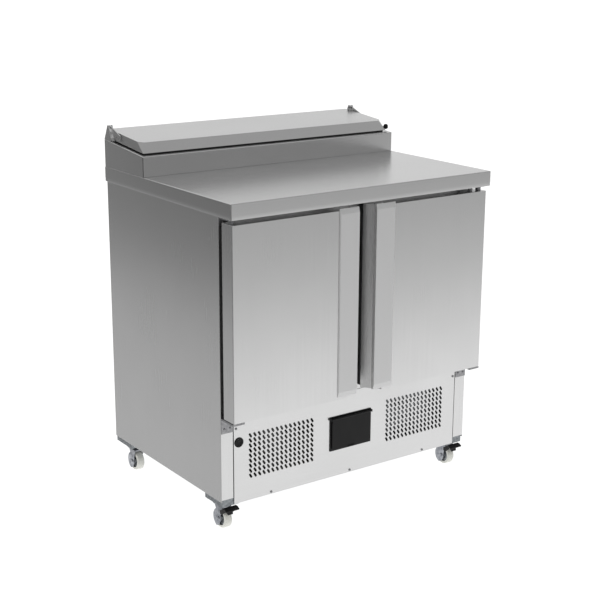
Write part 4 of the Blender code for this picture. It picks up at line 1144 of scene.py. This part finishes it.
@dataclass
class Studio:
    """Camera, pale floor and soft light."""

    eye: tuple[float, float, float] = (-2.1843, -3.1038, 1.5918)
    yaw: float = 35.3097
    pitch: float = 15.4133
    roll: float = 0.2642
    lens: float = 78.03
    floor_fall: tuple = ((-5.0, 0.32), (-3.0, 0.40), (-2.2, 0.58), (-1.4, 0.86), (-1.0, 0.95), (6.45, 0.95),
                         (6.85, 0.66), (7.0, 0.60))
    card_fall: tuple = ((-9.0, 0.10), (-2.33, 0.17), (-1.9, 0.28), (-1.48, 0.50), (-0.65, 0.58),
                        (-0.49, 0.55))
    front_tones: tuple = ((0.22, "#929292"), (0.34, "#f0f0f0"), (0.42, "#f0f0f0"), (0.62, "#bababa"))

    def camera(self) -> None:
        """Sets the camera from its place and three angles."""
        yaw, pitch, roll = (math.radians(a) for a in (self.yaw, self.pitch, self.roll))
        ahead = Vector((math.sin(yaw) * math.cos(pitch), math.cos(yaw) * math.cos(pitch), -math.sin(pitch)))
        right = Vector((math.cos(yaw), -math.sin(yaw), 0.0))
        up = right.cross(ahead)
        across = right * math.cos(roll) + up * math.sin(roll)
        above = -right * math.sin(roll) + up * math.cos(roll)
        data = bpy.data.cameras.new("camera")
        data.lens, data.sensor_width = self.lens, 36.0
        obj = bpy.data.objects.new("camera", data)
        turn = Matrix((across, above, -ahead)).transposed().to_4x4()
        obj.matrix_world = Matrix.Translation(self.eye) @ turn
        bpy.context.scene.collection.objects.link(obj)
        bpy.context.scene.camera = obj

    def paper(self, name: str, albedo: float, fall: Sequence[tuple[float, float, float]],
              axis: Axis) -> bpy.types.Material:
        """A plain diffuse sheet that also gives off light, more or less of it along one axis.

        Args:
            name: The material's name.
            albedo: How much light it throws back.
            fall: Place along the axis, and the light given off there, in rising order of place.
            axis: The axis along which the light changes.

        Returns:
            The material.
        """
        material = bpy.data.materials.new(name)
        material.use_nodes = True
        tree = material.node_tree
        shader = tree.nodes["Principled BSDF"]
        shader.inputs["Base Color"].default_value = (albedo, albedo, albedo, 1.0)
        shader.inputs["Roughness"].default_value = 1.0
        shader.inputs["Specular IOR Level"].default_value = 0.0
        shader.inputs["Emission Color"].default_value = (1.0, 1.0, 1.0, 1.0)
        start, end = fall[0][0], fall[-1][0]
        along = add_node(tree, "SeparateXYZ", {"Vector": add_node(tree, "TexCoord").outputs["Object"]})
        share = add_node(tree, "MapRange",
                         {"Value": along.outputs[axis.value], "From Min": start, "From Max": end})
        curve = add_node(tree, "FloatCurve", {"Value": share.outputs[0]})
        line = curve.mapping.curves[0]
        for index, (place, strength) in enumerate(fall):
            spot = ((place - start) / (end - start), strength)
            if index < 2:
                line.points[index].location = spot
            else:
                line.points.new(*spot)
            line.points[-1].handle_type = "VECTOR"
        curve.mapping.update()
        tree.links.new(curve.outputs[0], shader.inputs["Emission Strength"])
        return material

    def sheet(self, name: str, points: Array, faces: list, material: bpy.types.Material) -> bpy.types.Object:
        """A studio surface, left out of the part."""
        mesh = bpy.data.meshes.new(name)
        mesh.from_pydata(points.tolist(), [], faces)
        mesh.materials.append(material)
        obj = bpy.data.objects.new(name, mesh)
        bpy.context.scene.collection.objects.link(obj)
        return obj

    def sweep(self) -> None:
        """The floor and the wall behind it, joined by a quarter circle; the floor dims towards the front."""
        half, near, far, bend, high = 14.0, -9.0, 7.0, 3.0, 9.0
        turn = np.linspace(0.0, math.pi / 2, 17)
        y = np.concatenate([[near], far - bend + bend * np.sin(turn), [far]])
        z = np.concatenate([[0.0], bend * (1.0 - np.cos(turn)), [high]])
        rings = np.stack([np.stack([np.full(len(y), x), y, z], 1) for x in (-half, half)], 0)
        count = len(y)
        faces = [[i, i + 1, count + i + 1, count + i] for i in range(count - 1)]
        self.sheet("floor", rings.reshape(-1, 3), faces,
                   self.paper("floor_paper", 0.30, self.floor_fall, Axis.Y))

    def side_card(self) -> None:
        """A card on the left, low over the floor and turned up behind, seen only in the steel."""
        x, y, z = (-9.0, -0.49), (-4.0, 3.9), (0.004, 2.6)
        points = np.array([(x[0], y[0], z[0]), (x[1], y[0], z[0]), (x[1], y[1], z[0]), (x[0], y[1], z[0]),
                           (x[1], y[1], z[1]), (x[0], y[1], z[1])])
        card = self.sheet("side_card", points, [[0, 1, 2, 3], [3, 2, 4, 5]],
                          self.paper("card_paper", 0.0, self.card_fall, Axis.X))
        card.visible_camera = False
        card.visible_diffuse = False
        card.visible_shadow = False
        card.visible_transmission = False

    def light(self) -> None:
        """A soft surround: bright behind; in front grey low down, then a light band, then dimmer."""
        world = bpy.data.worlds.new("surround")
        bpy.context.scene.world = world
        world.use_nodes = True
        tree = world.node_tree
        back = tree.nodes["Background"]
        direction = add_node(tree, "TexCoord").outputs["Generated"]
        split = add_node(tree, "SeparateXYZ", {"Vector": direction})
        rise = ramp(tree, split.outputs["Z"], self.front_tones)
        behind = ramp(tree, split.outputs["Y"], [(0.0, "#000000"), (0.6, "#ffffff")])
        both = add_node(tree, "Mix",
                        {0: behind.outputs["Color"], 6: rise.outputs["Color"], 7: linear("#efefef")},
                        data_type="RGBA")
        tree.links.new(both.outputs[2], back.inputs["Color"])
        back.inputs["Strength"].default_value = 0.9

    def build(self) -> None:
        """Makes the studio."""
        self.camera()
        self.sweep()
        self.side_card()
        self.light()
        view = bpy.context.scene.view_settings
        view.view_transform = "Standard"


def main() -> None:
    """Builds every sub-assembly in order."""
    logging.basicConfig(level=logging.INFO, format="%(name)s: %(message)s")
    FRAME.update(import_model())
    Studio().build()
    Cabinet().build()
    Worktop().build()
    FoodPans().build()
    Lid().build()
    for word, side in (("left", -1), ("right", 1)):
        Door(word, side).build()
    LouvrePanel().build()
    Controls().build()
    for end, y in (("front", -0.219), ("back", 0.289)):
        for word, side in (("left", -1), ("right", 1)):
            Caster(end, word, side, y).build()


if __name__ == "__main__":
    main()
